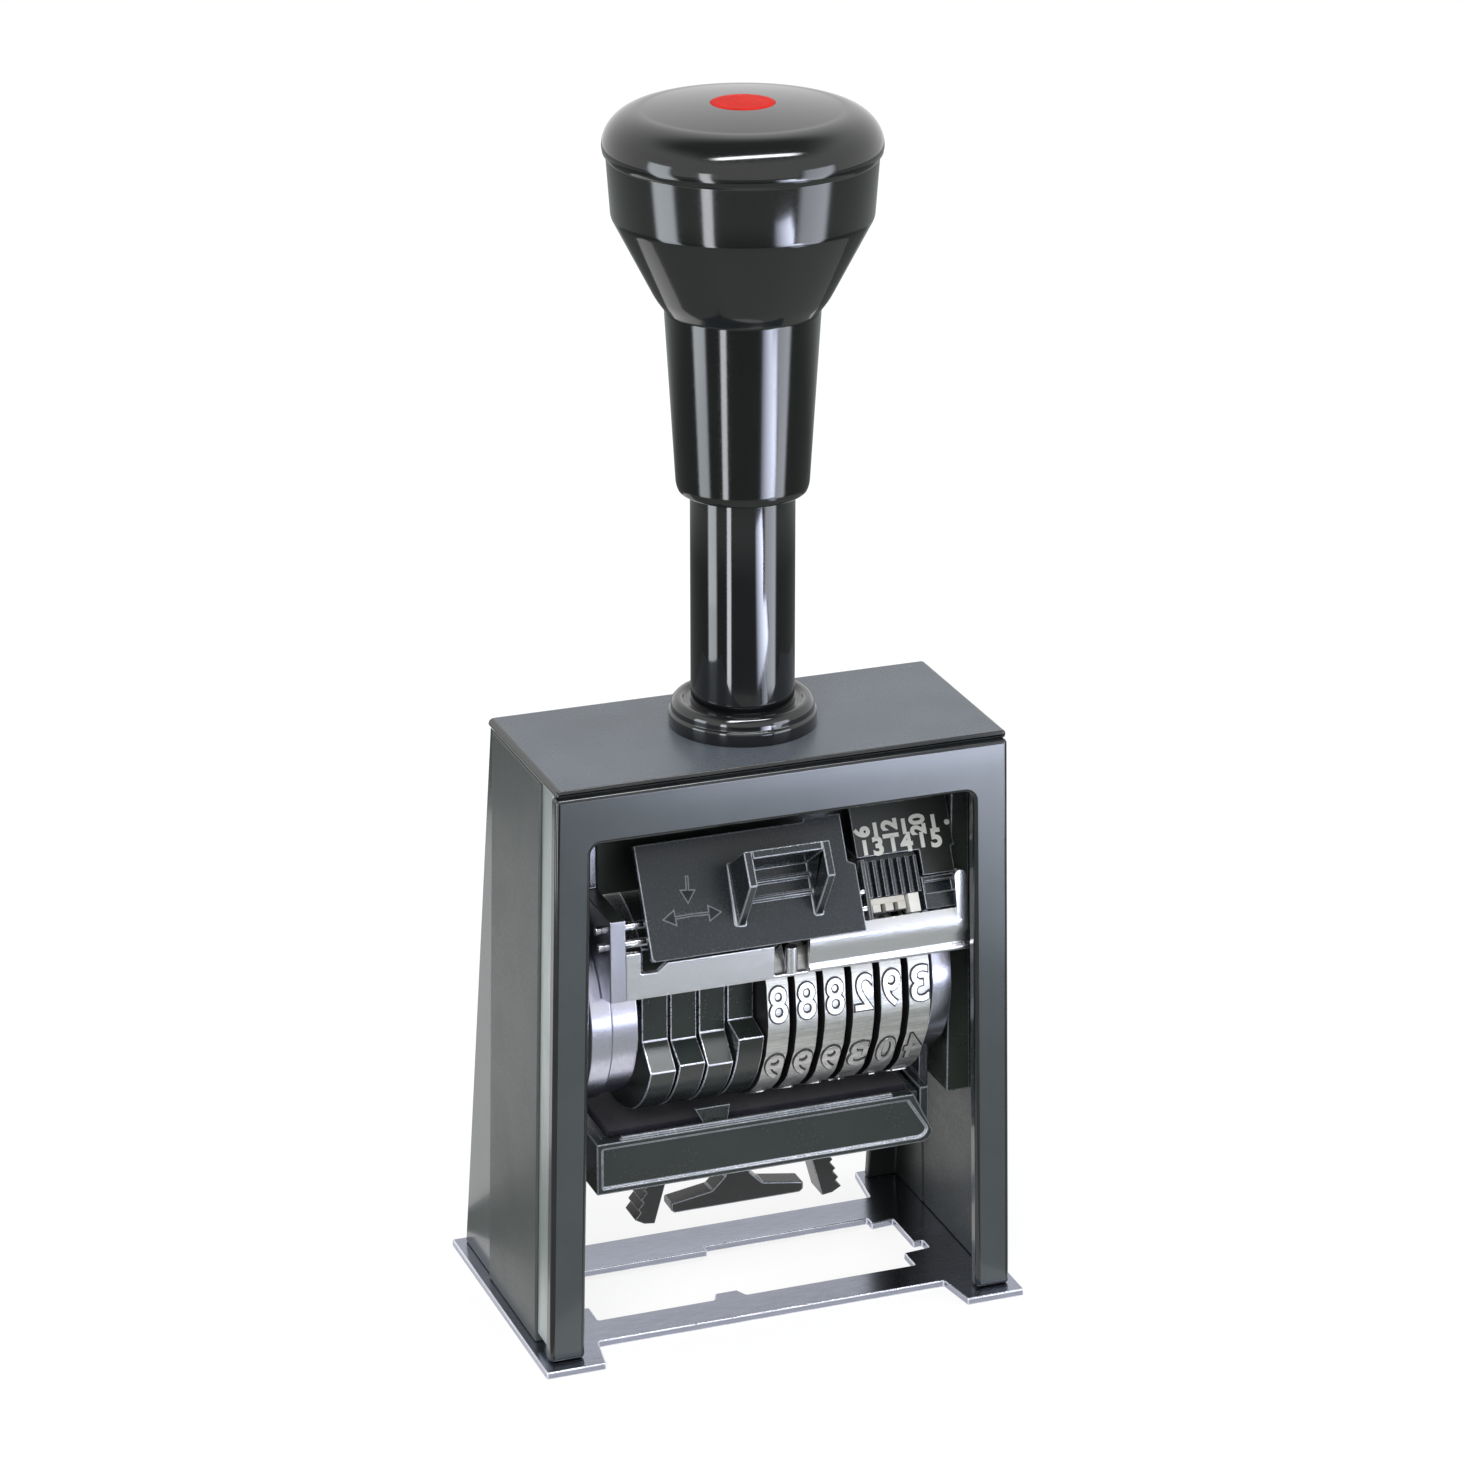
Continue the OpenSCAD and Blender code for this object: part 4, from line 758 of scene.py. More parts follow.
def glyph(text: str, height: float, width: float, weight: float) -> tuple[Points, Points, list]:
    """Outlines of a short text as flat faces, centred on the origin.

    Args:
        text: The characters.
        height: Height of a figure in millimetres.
        width: Greatest width of the text in millimetres.
        weight: Thickening of the strokes in millimetres.

    Returns:
        The points, two columns in millimetres, the faces' point numbers and the rim's
        pairs of point numbers.
    """
    curve = bpy.data.curves.new("glyph", "FONT")
    curve.body = text
    curve.size = 1.0
    curve.fill_mode = "FRONT"
    curve.resolution_u = 4
    carrier = bpy.data.objects.new("glyph", curve)
    bare = bpy.data.meshes.new_from_object(carrier)
    tall = np.ptp([v.co.y for v in bare.vertices])
    wide = np.ptp([v.co.x for v in bare.vertices])
    bpy.data.meshes.remove(bare)
    scale_y = height / tall
    scale_x = min(scale_y, width / wide)
    curve.offset = weight / scale_y
    mesh = bpy.data.meshes.new_from_object(carrier)
    joined = bmesh.new()
    joined.from_mesh(mesh)
    bmesh.ops.remove_doubles(joined, verts=joined.verts, dist=1e-5)
    joined.verts.index_update()
    points = np.array([v.co[:2] for v in joined.verts])
    faces = [[v.index for v in f.verts] for f in joined.faces]
    rim = [(e.verts[0].index, e.verts[1].index) for e in joined.edges if len(e.link_faces) == 1]
    joined.free()
    bpy.data.meshes.remove(mesh)
    bpy.data.objects.remove(carrier)
    bpy.data.curves.remove(curve)
    middle = (points.max(0) + points.min(0)) / 2
    return (points - middle) * [scale_x, scale_y], np.array(rim), faces


def drawn(section: Points, start: float, end: float) -> tuple[Points, list]:
    """Draws a closed section out along X.

    Args:
        section: Y and Z of its points, in order round it.
        start: X of the first end.
        end: X of the second end.

    Returns:
        The points, three columns, and the faces of the closed solid.
    """
    count = len(section)
    points = np.vstack([np.column_stack([np.full(count, x), section]) for x in (start, end)])
    ends = [list(range(count)), list(range(2 * count - 1, count - 1, -1))]
    return points, grid_faces(2, count, wrap=True).tolist() + ends


def raised(shape: tuple[Points, Points, list], low: float, high: float) -> tuple[Points, list]:
    """Gives a flat glyph a thickness.

    Args:
        shape: Points, rim and faces from glyph().
        low: Height of its underside.
        high: Height of its face.

    Returns:
        The points, three columns, and the faces of the closed solid.
    """
    flat, rim, faces = shape
    count = len(flat)
    points = np.vstack([
        np.column_stack([flat, np.full(count, low)]),
        np.column_stack([flat, np.full(count, high)]),
    ])
    walls = [[a, b, b + count, a + count] for a, b in rim.tolist()]
    return points, faces + [[n + count for n in f] for f in faces] + walls


def gathered(parts: Sequence[tuple[Points, list]]) -> tuple[Points, list]:
    """Joins several solids' points and faces into one list of each."""
    points, faces, start = [], [], 0
    for part_points, part_faces in parts:
        points.append(part_points)
        faces += [[n + start for n in f] for f in part_faces]
        start += len(part_points)
    return np.vstack(points), faces


# ------------------------------------------------------------------ sub-assemblies


class SubAssembly:
    """A group of pieces that belong together on the machine."""

    def report(self, piece: str, how: str) -> None:
        """Logs one finished piece."""
        LOG.info("%s: %s, %s", type(self).__name__, piece, how)

    def finish(
        self, piece: bpy.types.Object, finish: Finish, body: str, *nodes: str
    ) -> bpy.types.Object:
        """Gives a new piece its finish, its body and the CAD nodes that it stands for.

        Args:
            piece: The new piece.
            finish: Its surface finish.
            body: The body that it rides on.
            nodes: The CAD nodes that it replaces.

        Returns:
            The same piece.
        """
        piece.data.materials.clear()
        piece.data.materials.append(finish.material())
        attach(piece, body)
        if nodes:
            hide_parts(*nodes)
        self.report(piece.name, f"{finish.name} on {body}")
        return piece

    def paint(self, node: str, finish: Finish) -> None:
        """Keeps a CAD node's shape and gives it a finish."""
        for slot in frame["nodes"][node].material_slots:
            slot.material = finish.material()
        self.report(node, finish.name)

    def round_off(
        self, node: str, finish: Finish, width: float, segments: int = 3,
        edge: Finish | None = None,
    ) -> bpy.types.Object:
        """Replaces a CAD node by a copy with rounded edges.

        Args:
            node: The CAD node.
            finish: The copy's finish.
            width: Width of the rounding in millimetres.
            segments: Faces across the rounding.
            edge: Finish of the rounding itself, where it has its own.

        Returns:
            The copy.
        """
        piece = with_bevel(merged_copy(node, f"{node}_finished"), width, segments)
        self.finish(piece, finish, body_of(node), node)
        if edge:
            piece.data.materials.append(edge.material())
            piece.modifiers["rounded_edges"].material = 1
        return piece


def face_vectors(piece: bpy.types.Object, kind: str) -> Points:
    """Normals or middles ("normal" or "center") of a piece's faces, three columns."""
    values = np.empty(len(piece.data.polygons) * 3)
    piece.data.polygons.foreach_get(kind, values)
    return values.reshape(-1, 3)


def line_faces(piece: bpy.types.Object, finish: Finish, chosen: np.ndarray) -> None:
    """Adds a finish to a piece and gives it to the chosen faces.

    Args:
        piece: The piece.
        finish: The added finish.
        chosen: Whether each face takes it.
    """
    mesh = piece.data
    mesh.materials.append(finish.material())
    added = len(mesh.materials) - 1
    mesh.polygons.foreach_set("material_index", chosen.astype(np.int32) * added)
    mesh.update()


def paint_inner_shade(piece: bpy.types.Object, finish: Finish, inward: Sequence[float]) -> None:
    """Paints shade on the faces of a wall that look into the machine by giving them a second
    finish.

    A face takes the painted shade where its normal leans towards the given direction by more
    degrees than 45; an X of the direction counts towards the machine's middle from both sides.

    Args:
        piece: The wall.
        finish: Finish of its inner faces, the painted shade.
        inward: X, Y and Z of the direction into the machine.
    """
    normals, centres = face_vectors(piece, "normal"), face_vectors(piece, "center")
    count = len(normals)
    towards = np.column_stack([
        -np.sign(centres[:, 0]) * inward[0], np.full(count, inward[1]), np.full(count, inward[2]),
    ])
    line_faces(piece, finish, (normals * towards).sum(axis=1) > 0.7)


def ink_low_faces(piece: bpy.types.Object, finish: Finish, axle: Points, reach: float) -> None:
    """Gives a wheel's faces that lie nearer its axle than its flats a second finish.

    The distance of a face is the root of the sum of the squares of its middle's Y and Z
    from the axle.

    Args:
        piece: The wheel.
        finish: Finish of the low faces.
        axle: Y and Z of the axle in millimetres.
        reach: Greatest distance of a low face in millimetres.
    """
    away = np.linalg.norm(face_vectors(piece, "center")[:, 1:] / MM - axle, axis=1)
    line_faces(piece, finish, away < reach)


def worn_down(piece: bpy.types.Object, depth: float) -> None:
    """Lowers a piece's top face.

    Args:
        piece: The piece.
        depth: How far its highest points sink, in millimetres.
    """
    mesh = piece.data
    points = np.empty(len(mesh.vertices) * 3)
    mesh.vertices.foreach_get("co", points)
    points = points.reshape(-1, 3)
    skin = 0.05 * MM
    top = points[:, 2] > points[:, 2].max() - skin
    points[top, 2] -= depth * MM
    mesh.vertices.foreach_set("co", points.ravel())
    mesh.update()


def body_of(node: str) -> str:
    """Name of the body that a CAD node rides on."""
    return frame["nodes"][node]["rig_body"]


def span(node: str) -> tuple[Points, Points]:
    """Lowest and highest corner of a CAD node, in millimetres."""
    low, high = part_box(node)
    return np.array(low) / MM, np.array(high) / MM


AXLE = (np.add(*(np.array(corner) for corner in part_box("wheel_axle"))) / 2 / MM)[1:]


@dataclass
class Housing(SubAssembly):
    """Base plate, front frame, side panels, trim strips, rear frame and top plate."""

    edge: float = 0.35
    front_edge: float = 0.62
    top_edge: float = 0.6
    plate_edge: float = 0.2

    def build(self) -> None:
        """Rounds the housing's plates, paints shade on their inner faces and paints what is inside.
        """
        # The base plate's rounded edges: worn metal and painted highlight.
        self.round_off("base_plate", BASE_STEEL, self.plate_edge, 3, BRIGHT_EDGE_WEAR_AND_HIGHLIGHT)
        # The front frame's and the top plate's rounded edges: painted dark reflection; their inner
        # faces: painted shade.
        front = self.round_off("front_frame", FRAME_ENAMEL, self.front_edge, 5, EDGE_PAINTED_DARK_REFLECTION)
        paint_inner_shade(front, INNER_PAINTED_SHADE, (0.0, 1.0, 0.0))
        top = self.round_off("top_plate", TOP_ENAMEL, self.top_edge, 5, EDGE_PAINTED_DARK_REFLECTION)
        paint_inner_shade(top, INNER_PAINTED_SHADE, (0.0, 0.0, -1.0))
        # The rear frame's and the side panels' inner faces: painted shade.
        rear = self.round_off("rear_frame", FRAME_ENAMEL, self.edge)
        paint_inner_shade(rear, INNER_PAINTED_SHADE, (1.0, -1.0, 0.0))
        for side in ("left", "right"):
            panel = self.round_off(f"{side}_side_panel", PANEL_ENAMEL, self.edge)
            paint_inner_shade(panel, INNER_PAINTED_SHADE, (1.0, 0.0, 0.0))
            self.round_off(f"{side}_trim_strip", TRIM_SATIN, 0.15)
            # The rails' rounded edges: pale worn metal and painted highlight.
            self.round_off(f"{side}_guide_rail", RAIL_ENAMEL, 0.2, 3, PALE_EDGE_WEAR_AND_HIGHLIGHT)
        self.paint("swing_studs", DARK_STEEL)


@dataclass
class Guide(SubAssembly):
    """Collar and tube that guide the handle, with the nut and stop ring below them."""

    lip: float = 0.35
    tube_wall: float = 1.25
    bore_shown: float = 12.0
    running_gap: float = 0.05

    def build(self) -> None:
        """Turns the collar and the tube and finishes the hidden ring and nut."""
        low, high = span("guide_collar")
        centre = tuple((low + high)[:2] / 2)
        outer = (high - low)[0] / 2
        tube_low, tube_high = span("guide_tube")
        tube_r = (tube_high - tube_low)[0] / 2
        base, top = low[2], high[2]
        inner = tube_r + self.running_gap
        collar = rounded([
            (inner, base, 0), (outer, base, 0.1), (outer, base + 1.95, self.lip),
            (outer - 0.35, base + 2.15, 0.1), (outer - 0.35, base + 3.1, self.lip),
            (outer - 1.0, top, self.lip), (tube_r + 1.3, top, 0.3),
            (tube_r + 0.9, top - 0.6, 0.2), (inner, top - 0.6, 0), (inner, base, 0),
        ])
        self.finish(turned("collar_turned", collar, centre), GLOSS_BLACK, "housing", "guide_collar")
        bore, seam = tube_r - self.tube_wall, tube_low[2] + self.bore_shown
        tube = rounded([
            (bore, seam, 0), (bore, tube_low[2], 0.2), (tube_r, tube_low[2], 0.2),
            (tube_r, tube_high[2], 0.6), (bore, tube_high[2], 0.2), (bore, seam, 0),
        ])
        self.finish(turned("tube_turned", tube, centre), GLOSS_BLACK, "housing", "guide_tube")
        self.round_off("tube_nut", DARK_STEEL, 0.25)
        self.round_off("bumper_ring", RUBBER, 0.2)


@dataclass
class Handle(SubAssembly):
    """Knob handle: sleeve, cone, band, domed cap and inlay, with the rod and its spring."""

    stroke: float = 30.0
    bore: float = 7.3
    rod_bore: float = 3.02
    sleeve_low: float = 9.2
    sleeve_top: float = 10.7
    sleeve_height: float = 25.8
    cone_height: float = 13.0
    cone_top: float = 17.8
    crown: float = 2.3
    cap_radius: float = 18.95
    dome_steps: int = 24

    def grip_profile(self, low: float, high: float) -> Points:
        """Profile of the grip, closed on itself.

        Args:
            low: Height of the sleeve's lower end.
            high: Height of the joint with the cap.

        Returns:
            Radius and height of each point.
        """
        cone = low + self.sleeve_height
        band = cone + self.cone_height
        return rounded([
            (self.bore, low, 0), (self.sleeve_low - 0.35, low, 0.35),
            (self.sleeve_low, low + 1.0, 0.5), (self.sleeve_top, cone, 0.25),
            (self.sleeve_top + 1.25, cone + 1.7, 0.9), (self.cone_top, band, 0.5),
            (self.cone_top + 0.6, high, 0.2), (self.rod_bore, high, 0),
            (self.rod_bore, high - self.crown, 0), (self.bore, high - self.crown, 0),
            (self.bore, low, 0),
        ])

    def cap_profile(self, low: float, high: float, hole: float) -> Points:
        """Profile of the domed cap, from its inner rim over the crown to the inlay's seat.

        The shoulder is a quarter of an ellipse from the rim in to the crown, and the
        crown rises with the square of the distance from its edge.

        Args:
            low: Height of the cap's lower rim.
            high: Height of the crown.
            hole: Radius of the inlay's seat.

        Returns:
            Radius and height of each point.
        """
        shoulder, rim, rise = 13.5, 1.2, 0.9
        lip, well, chamfer = 14.0, 12.0, 0.5
        turn = np.linspace(0.0, math.pi / 2, self.dome_steps)
        top = high - low - rise
        side = np.column_stack([
            shoulder + (self.cap_radius - shoulder) * np.cos(turn),
            low + rim + (top - rim) * np.sin(turn),
        ])
        reach = np.linspace(shoulder, hole, self.dome_steps)[1:]
        crown = np.column_stack([reach, low + top + rise * (1 - (reach / shoulder) ** 2)])
        seat = high - rise
        under = np.array([
            [lip, low], [self.cap_radius - chamfer, low], [self.cap_radius - 0.12, low + chamfer],
        ])
        inside = np.array([
            [hole, seat], [0.0, seat], [0.0, high - 2.6], [well, high - 3.2],
            [lip, low + 1.6], [lip, low],
        ])
        return np.vstack([under, side, crown, inside])

    def coil(self) -> None:
        """Makes the return spring as a copy of its CAD node, with a mesh of its own."""
        spring = merged_copy("return_spring", "spring_coiled")
        self.finish(spring, SPRING_STEEL, body_of("return_spring"), "return_spring")
        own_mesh(spring)

    def build(self) -> None:
        """Turns the handle's pieces and paints the metal parts inside it."""
        low, high = span("handle_grip")
        centre = tuple((low + high)[:2] / 2)
        grip = turned("grip_turned", self.grip_profile(low[2], high[2]), centre)
        self.finish(grip, KNOB_PLASTIC, "plunger", "handle_grip")
        cap_low, cap_high = span("knob_cap")
        dot_low, dot_high = span("knob_inlay")
        dot = (dot_high - dot_low)[0] / 2
        cap = turned("cap_turned", self.cap_profile(cap_low[2], cap_high[2], dot + 0.02), centre)
        self.finish(cap, KNOB_PLASTIC, "plunger", "knob_cap")
        inlay = rounded([
            (0.0, dot_low[2], 0), (dot, dot_low[2], 0.05), (dot, dot_high[2] - 0.15, 0.12),
            (dot - 0.5, dot_high[2] - 0.04, 0.3), (0.0, dot_high[2], 0),
        ])
        self.finish(turned("inlay_turned", inlay, centre), RED_INLAY, "plunger", "knob_inlay")
        self.paint("plunger_rod", BRIGHT_STEEL)
        self.coil()
        self.round_off("cap_screw", DARK_STEEL, 0.2)
        self.round_off("rod_nut", DARK_STEEL, 0.2)


@dataclass
class LeaningFrame:
    """The selector's leaning frame: Y runs into the machine and Z up along the plate."""

    lean: float
    origin: tuple[float, float]

    def carry(self, points: Points) -> Points:
        """Takes points from the leaning frame to the machine's.

        y = y0 + y' cos(lean) + z' sin(lean) and z = z0 - y' sin(lean) + z' cos(lean).

        Args:
            points: Three columns: x, y' and z'.

        Returns:
            The same points in the machine's frame.
        """
        c, s = math.cos(math.radians(self.lean)), math.sin(math.radians(self.lean))
        x, y, z = points.T
        return np.column_stack([x, self.origin[0] + y * c + z * s, self.origin[1] - y * s + z * c])


@dataclass
class Carriage(SubAssembly):
    """Yoke, cheeks, cross bars, rods, comb and scale that slide down with the handle."""

    slope: LeaningFrame
    foot: float = 2.4
    head: float = 0.85
    scale_in: float = 2.2
    paint_depth: float = 0.06
    stroke: float = 0.15
    tall: float = 2.15
    taller: float = 0.3
    tick: float = 1.9
    tick_wide: float = 0.6
    upper_row: float = 13.85
    lower_row: float = 11.6
    turned_signs: tuple = (("6", 15.3, 1.4), ("12", 19.5, 2.6), ("20", 23.75, 2.7))
    upper_ticks: tuple = (17.4, 21.7, 26.2)
    upright_signs: tuple = (("3", 17.4, 1.5), ("4", 21.7, 1.6), ("5", 26.2, 1.5))
    lower_ticks: tuple = (15.45, 19.7, 24.1)
    dot: tuple = (28.2, 13.6, 0.5)
    plates: tuple = (
        # The yoke takes the painted shade of the machine's inside.
        ("yoke", INNER_PAINTED_SHADE, 0.2, None),
        ("guide_shoes", RAIL_ENAMEL, 0.2, PALE_EDGE_WEAR_AND_HIGHLIGHT),
        ("rod_bracket", BRACKET_PAINT, 0.12, PALE_EDGE_WEAR_AND_HIGHLIGHT),
        ("scale_plate", SCALE_PAINT, 0.12, PALE_EDGE_WEAR_AND_HIGHLIGHT),
        ("detent_comb", SELECTOR_SATIN, 0.08, PALE_EDGE_WEAR_AND_HIGHLIGHT),
        ("stop_block", SELECTOR_SATIN, 0.12, PALE_EDGE_WEAR_AND_HIGHLIGHT),
        ("detent_rack", IVORY, 0.08, None),
        ("detent_leaf", NUMERAL_PAINT, 0.08, None),
        ("axle_clips", DARK_STEEL, 0.08, None),
        ("index_pawls", SPRING_STEEL, 0.1, None),
    )

    def numerals(self) -> None:
        """Paints the scale's plain figures and strokes onto its plate.

        The upper row's figures are turned a quarter so that they read upwards.
        """
        upper, lower, tick = self.upper_row, self.lower_row, (self.tick, self.tick_wide, False)
        signs = [(text, x, upper, self.tall, wide, True) for text, x, wide in self.turned_signs]
        signs += [("I", x, upper, *tick) for x in self.upper_ticks]
        signs += [
            (text, x, lower, self.tall + self.taller, wide, False)
            for text, x, wide in self.upright_signs
        ]
        signs += [("I", x, lower, *tick) for x in self.lower_ticks]
        signs.append((".", self.dot[0], self.dot[1], self.dot[2], self.dot[2], False))
        parts = []
        for text, x, height, tall, wide, turn in signs:
            block, walls = raised(glyph(text, tall, wide, self.stroke), 0.0, self.paint_depth)
            across, up = (-block[:, 1], block[:, 0]) if turn else (block[:, 0], block[:, 1])
            place = np.column_stack([across + x, self.scale_in - block[:, 2], up + height])
            parts.append((self.slope.carry(place), walls))
        self.finish(solid("scale_numerals", *gathered(parts)), NUMERAL_PAINT, "plunger")

    def rolled_bar(self) -> None:
        """Makes the right cross bar: a flat web over a hollow and a rolled lip, and its foot.

        The lip is half a circle round the bar's lower edge, and the foot narrows upwards to
        a head that is half a circle.
        """
        low, high = span("right_cross_bar")
        front, base, thick = low[1], low[2], high[1] - low[1]
        turn = np.linspace(0.0, -math.pi, 12)
        lip = np.column_stack([
            front + thick / 2 * (1 + np.cos(turn)), base + thick / 2 * (1 + np.sin(turn)),
        ])
        web = rounded([
            (front, base + 0.5, 0), (front + 0.02, base + 0.78, 0.06),
            (front + 0.52, base + 1.22, 0.12), (front + 0.36, base + 2.1, 0.5),
            (front, base + 3.5, 0.9), (front, base + 5.0, 0.25),
            (front + thick - 0.2, base + 6.4, 0.05), (front + thick, base + 6.4, 0),
        ])
        bar = drawn(np.vstack([lip[:-1], web]), low[0], high[0])
        arch = np.linspace(0.0, math.pi, 12)
        outline = np.column_stack([
            high[0] - self.foot + 0.2 + self.head * np.cos(arch),
            high[2] - self.head + self.head * np.sin(arch),
        ])
        start = [[high[0] - self.foot, base + 4.6], [high[0], base + 4.6], [high[0], base + 5.0]]
        outline = np.vstack([start, outline])
        number = np.arange(len(outline))
        shape = (outline, np.column_stack([number, np.roll(number, -1)]), [number.tolist()])
        block, walls = raised(shape, front + 0.02, front + thick)
        piece = solid("rolled_bar", *gathered([bar, (block[:, [0, 2, 1]], walls)]))
        self.finish(piece, BRIGHT_STEEL, "plunger", "right_cross_bar")

    def build(self) -> None:
        """Rounds the plates, paints the rods and puts the figures on the scale."""
        left = self.round_off("left_cheek", CHEEK_STEEL, 0.2)
        # Painted shade on the left cheek's upper faces.
        paint_inner_shade(left, INNER_PAINTED_SHADE, (0.0, 0.0, 1.0))
        self.round_off("right_cheek", CHEEK_STEEL, 0.2)
        self.rolled_bar()
        self.round_off("left_cross_bar", BRIGHT_STEEL, 0.18)
        self.round_off("bar_pin", BRIGHT_STEEL, 0.15)
        for node, finish, width, edge in self.plates:
            self.round_off(node, finish, width, 3, edge)
        for node in ("wheel_axle", "selector_rods", "pawl_rod"):
            self.paint(node, BRIGHT_STEEL)
        self.numerals()


@dataclass
class FigureWheels(SubAssembly):
    """Six wheels with ten mirrored figures each, raised from their flats."""

    shown: tuple[int, ...] = (8, 8, 8, 2, 9, 3)
    radius: float = 17.1
    flat_angle: float = 19.0
    flat_start: float = -2.0
    step: float = 36.0
    face: float = 3.25
    figure_height: float = 5.2
    figure_width: float = 2.55
    stroke: float = 0.03
    stroke_height: float = 0.26
    halo: float = 0.30
    sunk: float = 0.05
    ink_share: float = 0.3
    gap_depth: float = 1.0

    def place(self, points: Points, x: float, axle: Points, flat: int) -> Points:
        """Lays flat points onto a wheel's flat, mirrored as type is.

        Args:
            points: Columns along the figure's width, its height and outwards.
            x: Middle of the wheel's rim.
            axle: Y and Z of the axle.
            flat: Number of the flat, counted upwards from the front one.

        Returns:
            The points in the machine's frame.
        """
        middle = self.flat_start + self.flat_angle / 2 + self.step * flat
        angle = math.radians(180.0 - middle)
        out = np.array([math.cos(angle), math.sin(angle)])
        along = np.array([math.sin(angle), -math.cos(angle)])
        reach = self.radius * math.cos(math.radians(self.flat_angle / 2))
        across, up, proud = points.T
        plane = axle + np.outer(up, along) + np.outer(reach + proud, out)
        return np.column_stack([x - across, plane])

    def figures(self, number: int, x: float, axle: Points) -> None:
        """Makes the figures of one wheel and the ink that stays round them.

        Args:
            number: The wheel's number.
            x: Middle of its rim.
            axle: Y and Z of the axle.
        """
        metal, ink = [], []
        for flat in range(10):
            text = str((self.shown[number - 1] - flat) % 10)
            size = (self.figure_height, self.figure_width)
            for parts, weight, low, high in (
                (metal, self.stroke, -self.sunk, self.stroke_height),
                (ink, self.halo, -self.sunk, self.stroke_height * self.ink_share),
            ):
                points, faces = raised(glyph(text, *size, weight), low, high)
                parts.append((self.place(points, x, axle, flat), faces))
        body = f"wheel_{number}"
        self.finish(solid(f"figures_{number}", *gathered(metal)), TYPE_METAL, body)
        self.finish(solid(f"figure_ink_{number}", *gathered(ink)), TYPE_INK, body)

    def build(self) -> None:
        """Rounds each wheel and sets its figures."""
        for number in range(1, len(self.shown) + 1):
            node = f"digit_wheel_{number}"
            low, _ = span(node)
            wheel = self.round_off(node, TYPE_METAL, 0.1, 2)
            ink_low_faces(wheel, TYPE_INK, AXLE, self.radius - self.gap_depth)
            self.figures(number, low[0] + self.face / 2, AXLE)


@dataclass
class RepeatDrum(SubAssembly):
    """Four stepped discs beside the figure wheels."""

    discs: int = 4
    edge: float = 0.16

    def build(self) -> None:
        """Rounds the discs, whose rounded edges take bright worn metal that is also a painted
        highlight.
        """
        for number in range(1, self.discs + 1):
            self.round_off(f"repeat_disc_{number}", BLACK_OXIDE, self.edge, 3, BRIGHT_EDGE_WEAR_AND_HIGHLIGHT)


@dataclass
class Selector(SubAssembly):
    """Leaning selector plate with its finger scoop and direction arrows, and its slider."""

    slope: LeaningFrame
    arrows: tuple = (
        ((-12.0, 11.0), (-12.4, 7.56)),
        ((-12.4, 5.70), (-16.25, 5.58)),
        ((-12.4, 5.70), (-8.03, 5.54)),
    )
    head: float = 1.55
    head_half: float = 0.92
    line: float = 0.07
    rim: float = 0.17
    rim_proud: float = 0.05
    dark_proud: float = 0.09
    sunk: float = 0.03
    barb_growth: float = 1.6
    tip_growth: float = 1.8

    def arrow(self, start: Points, end: Points, grow: float, proud: float) -> tuple[Points, list]:
        """Makes a thin arrow on the plate.

        Its outline is a narrow stem that ends in a triangle. Growing it moves every side
        of both outwards, and the tip ahead, by the same amount.

        Args:
            start: The tail in the plate's plane.
            end: The tip in the plate's plane.
            grow: How far the outline grows.
            proud: How far the arrow stands off the plate.

        Returns:
            Its points in the machine's frame and its faces.
        """
        ahead = (end - start) / np.linalg.norm(end - start)
        aside = np.array([-ahead[1], ahead[0]])
        neck = end - ahead * (self.head + grow)
        stem, half = aside * (self.line + grow), aside * (self.head_half + grow * self.barb_growth)
        tail, tip = start - ahead * grow, end + ahead * grow * self.tip_growth
        flat = np.array([
            tail - stem, neck - stem, neck - half, tip, neck + half, neck + stem, tail + stem,
        ])
        number = np.arange(len(flat))
        rim = np.column_stack([number, np.roll(number, -1)])
        block, faces = raised((flat, rim, [number.tolist()]), -self.sunk, proud)
        return self.slope.carry(block[:, [0, 2, 1]] * [1.0, -1.0, 1.0]), faces

    def build(self) -> None:
        """Rounds the plate and the slider and puts the arrows on."""
        # The plate's and the slider's rounded edges: pale worn metal and painted highlight.
        self.round_off("selector_plate", SELECTOR_SATIN, 0.2, 3, PALE_EDGE_WEAR_AND_HIGHLIGHT)
        self.round_off("selector_slider", SELECTOR_SATIN, 0.15, 3, PALE_EDGE_WEAR_AND_HIGHLIGHT)
        for name, finish, grow, proud in (
            ("arrow_rims", ARROW_RIM, self.rim, self.rim_proud),
            ("arrow_faces", ARROW_DARK, 0.0, self.dark_proud),
        ):
            parts = [self.arrow(np.array(a), np.array(b), grow, proud) for a, b in self.arrows]
            self.finish(solid(name, *gathered(parts)), finish, "selector_key")


@dataclass
class InkTray(SubAssembly):
    """Ink tray with its arms, clip, cartridge, pad, drawing handle and latches."""

    edge: float = 0.22
    pressed: float = 0.22

    def build(self) -> None:
        """Rounds the tray's pieces, with the pad pressed down a little by the type."""
        # Rounded edges of the tray, clip, handle and latches: pale worn metal and painted
        # highlight.
        self.round_off("ink_tray", TRAY_PLASTIC, self.edge, 4, PALE_EDGE_WEAR_AND_HIGHLIGHT)
        self.round_off("tray_clip", CLIP_BLACK, 0.12, 3, PALE_EDGE_WEAR_AND_HIGHLIGHT)
        for node in ("left_swing_arm", "right_swing_arm"):
            self.round_off(node, CHEEK_STEEL, 0.2)
        self.round_off("ink_cartridge", TRAY_PLASTIC, 0.2)
        worn_down(self.round_off("ink_pad", INKED_FELT, 0.3), self.pressed)
        self.round_off("cartridge_handle", LATCH_PLASTIC, self.edge, 4, PALE_EDGE_WEAR_AND_HIGHLIGHT)
        self.round_off("cartridge_latches", LATCH_PLASTIC, 0.12, 3, PALE_EDGE_WEAR_AND_HIGHLIGHT)


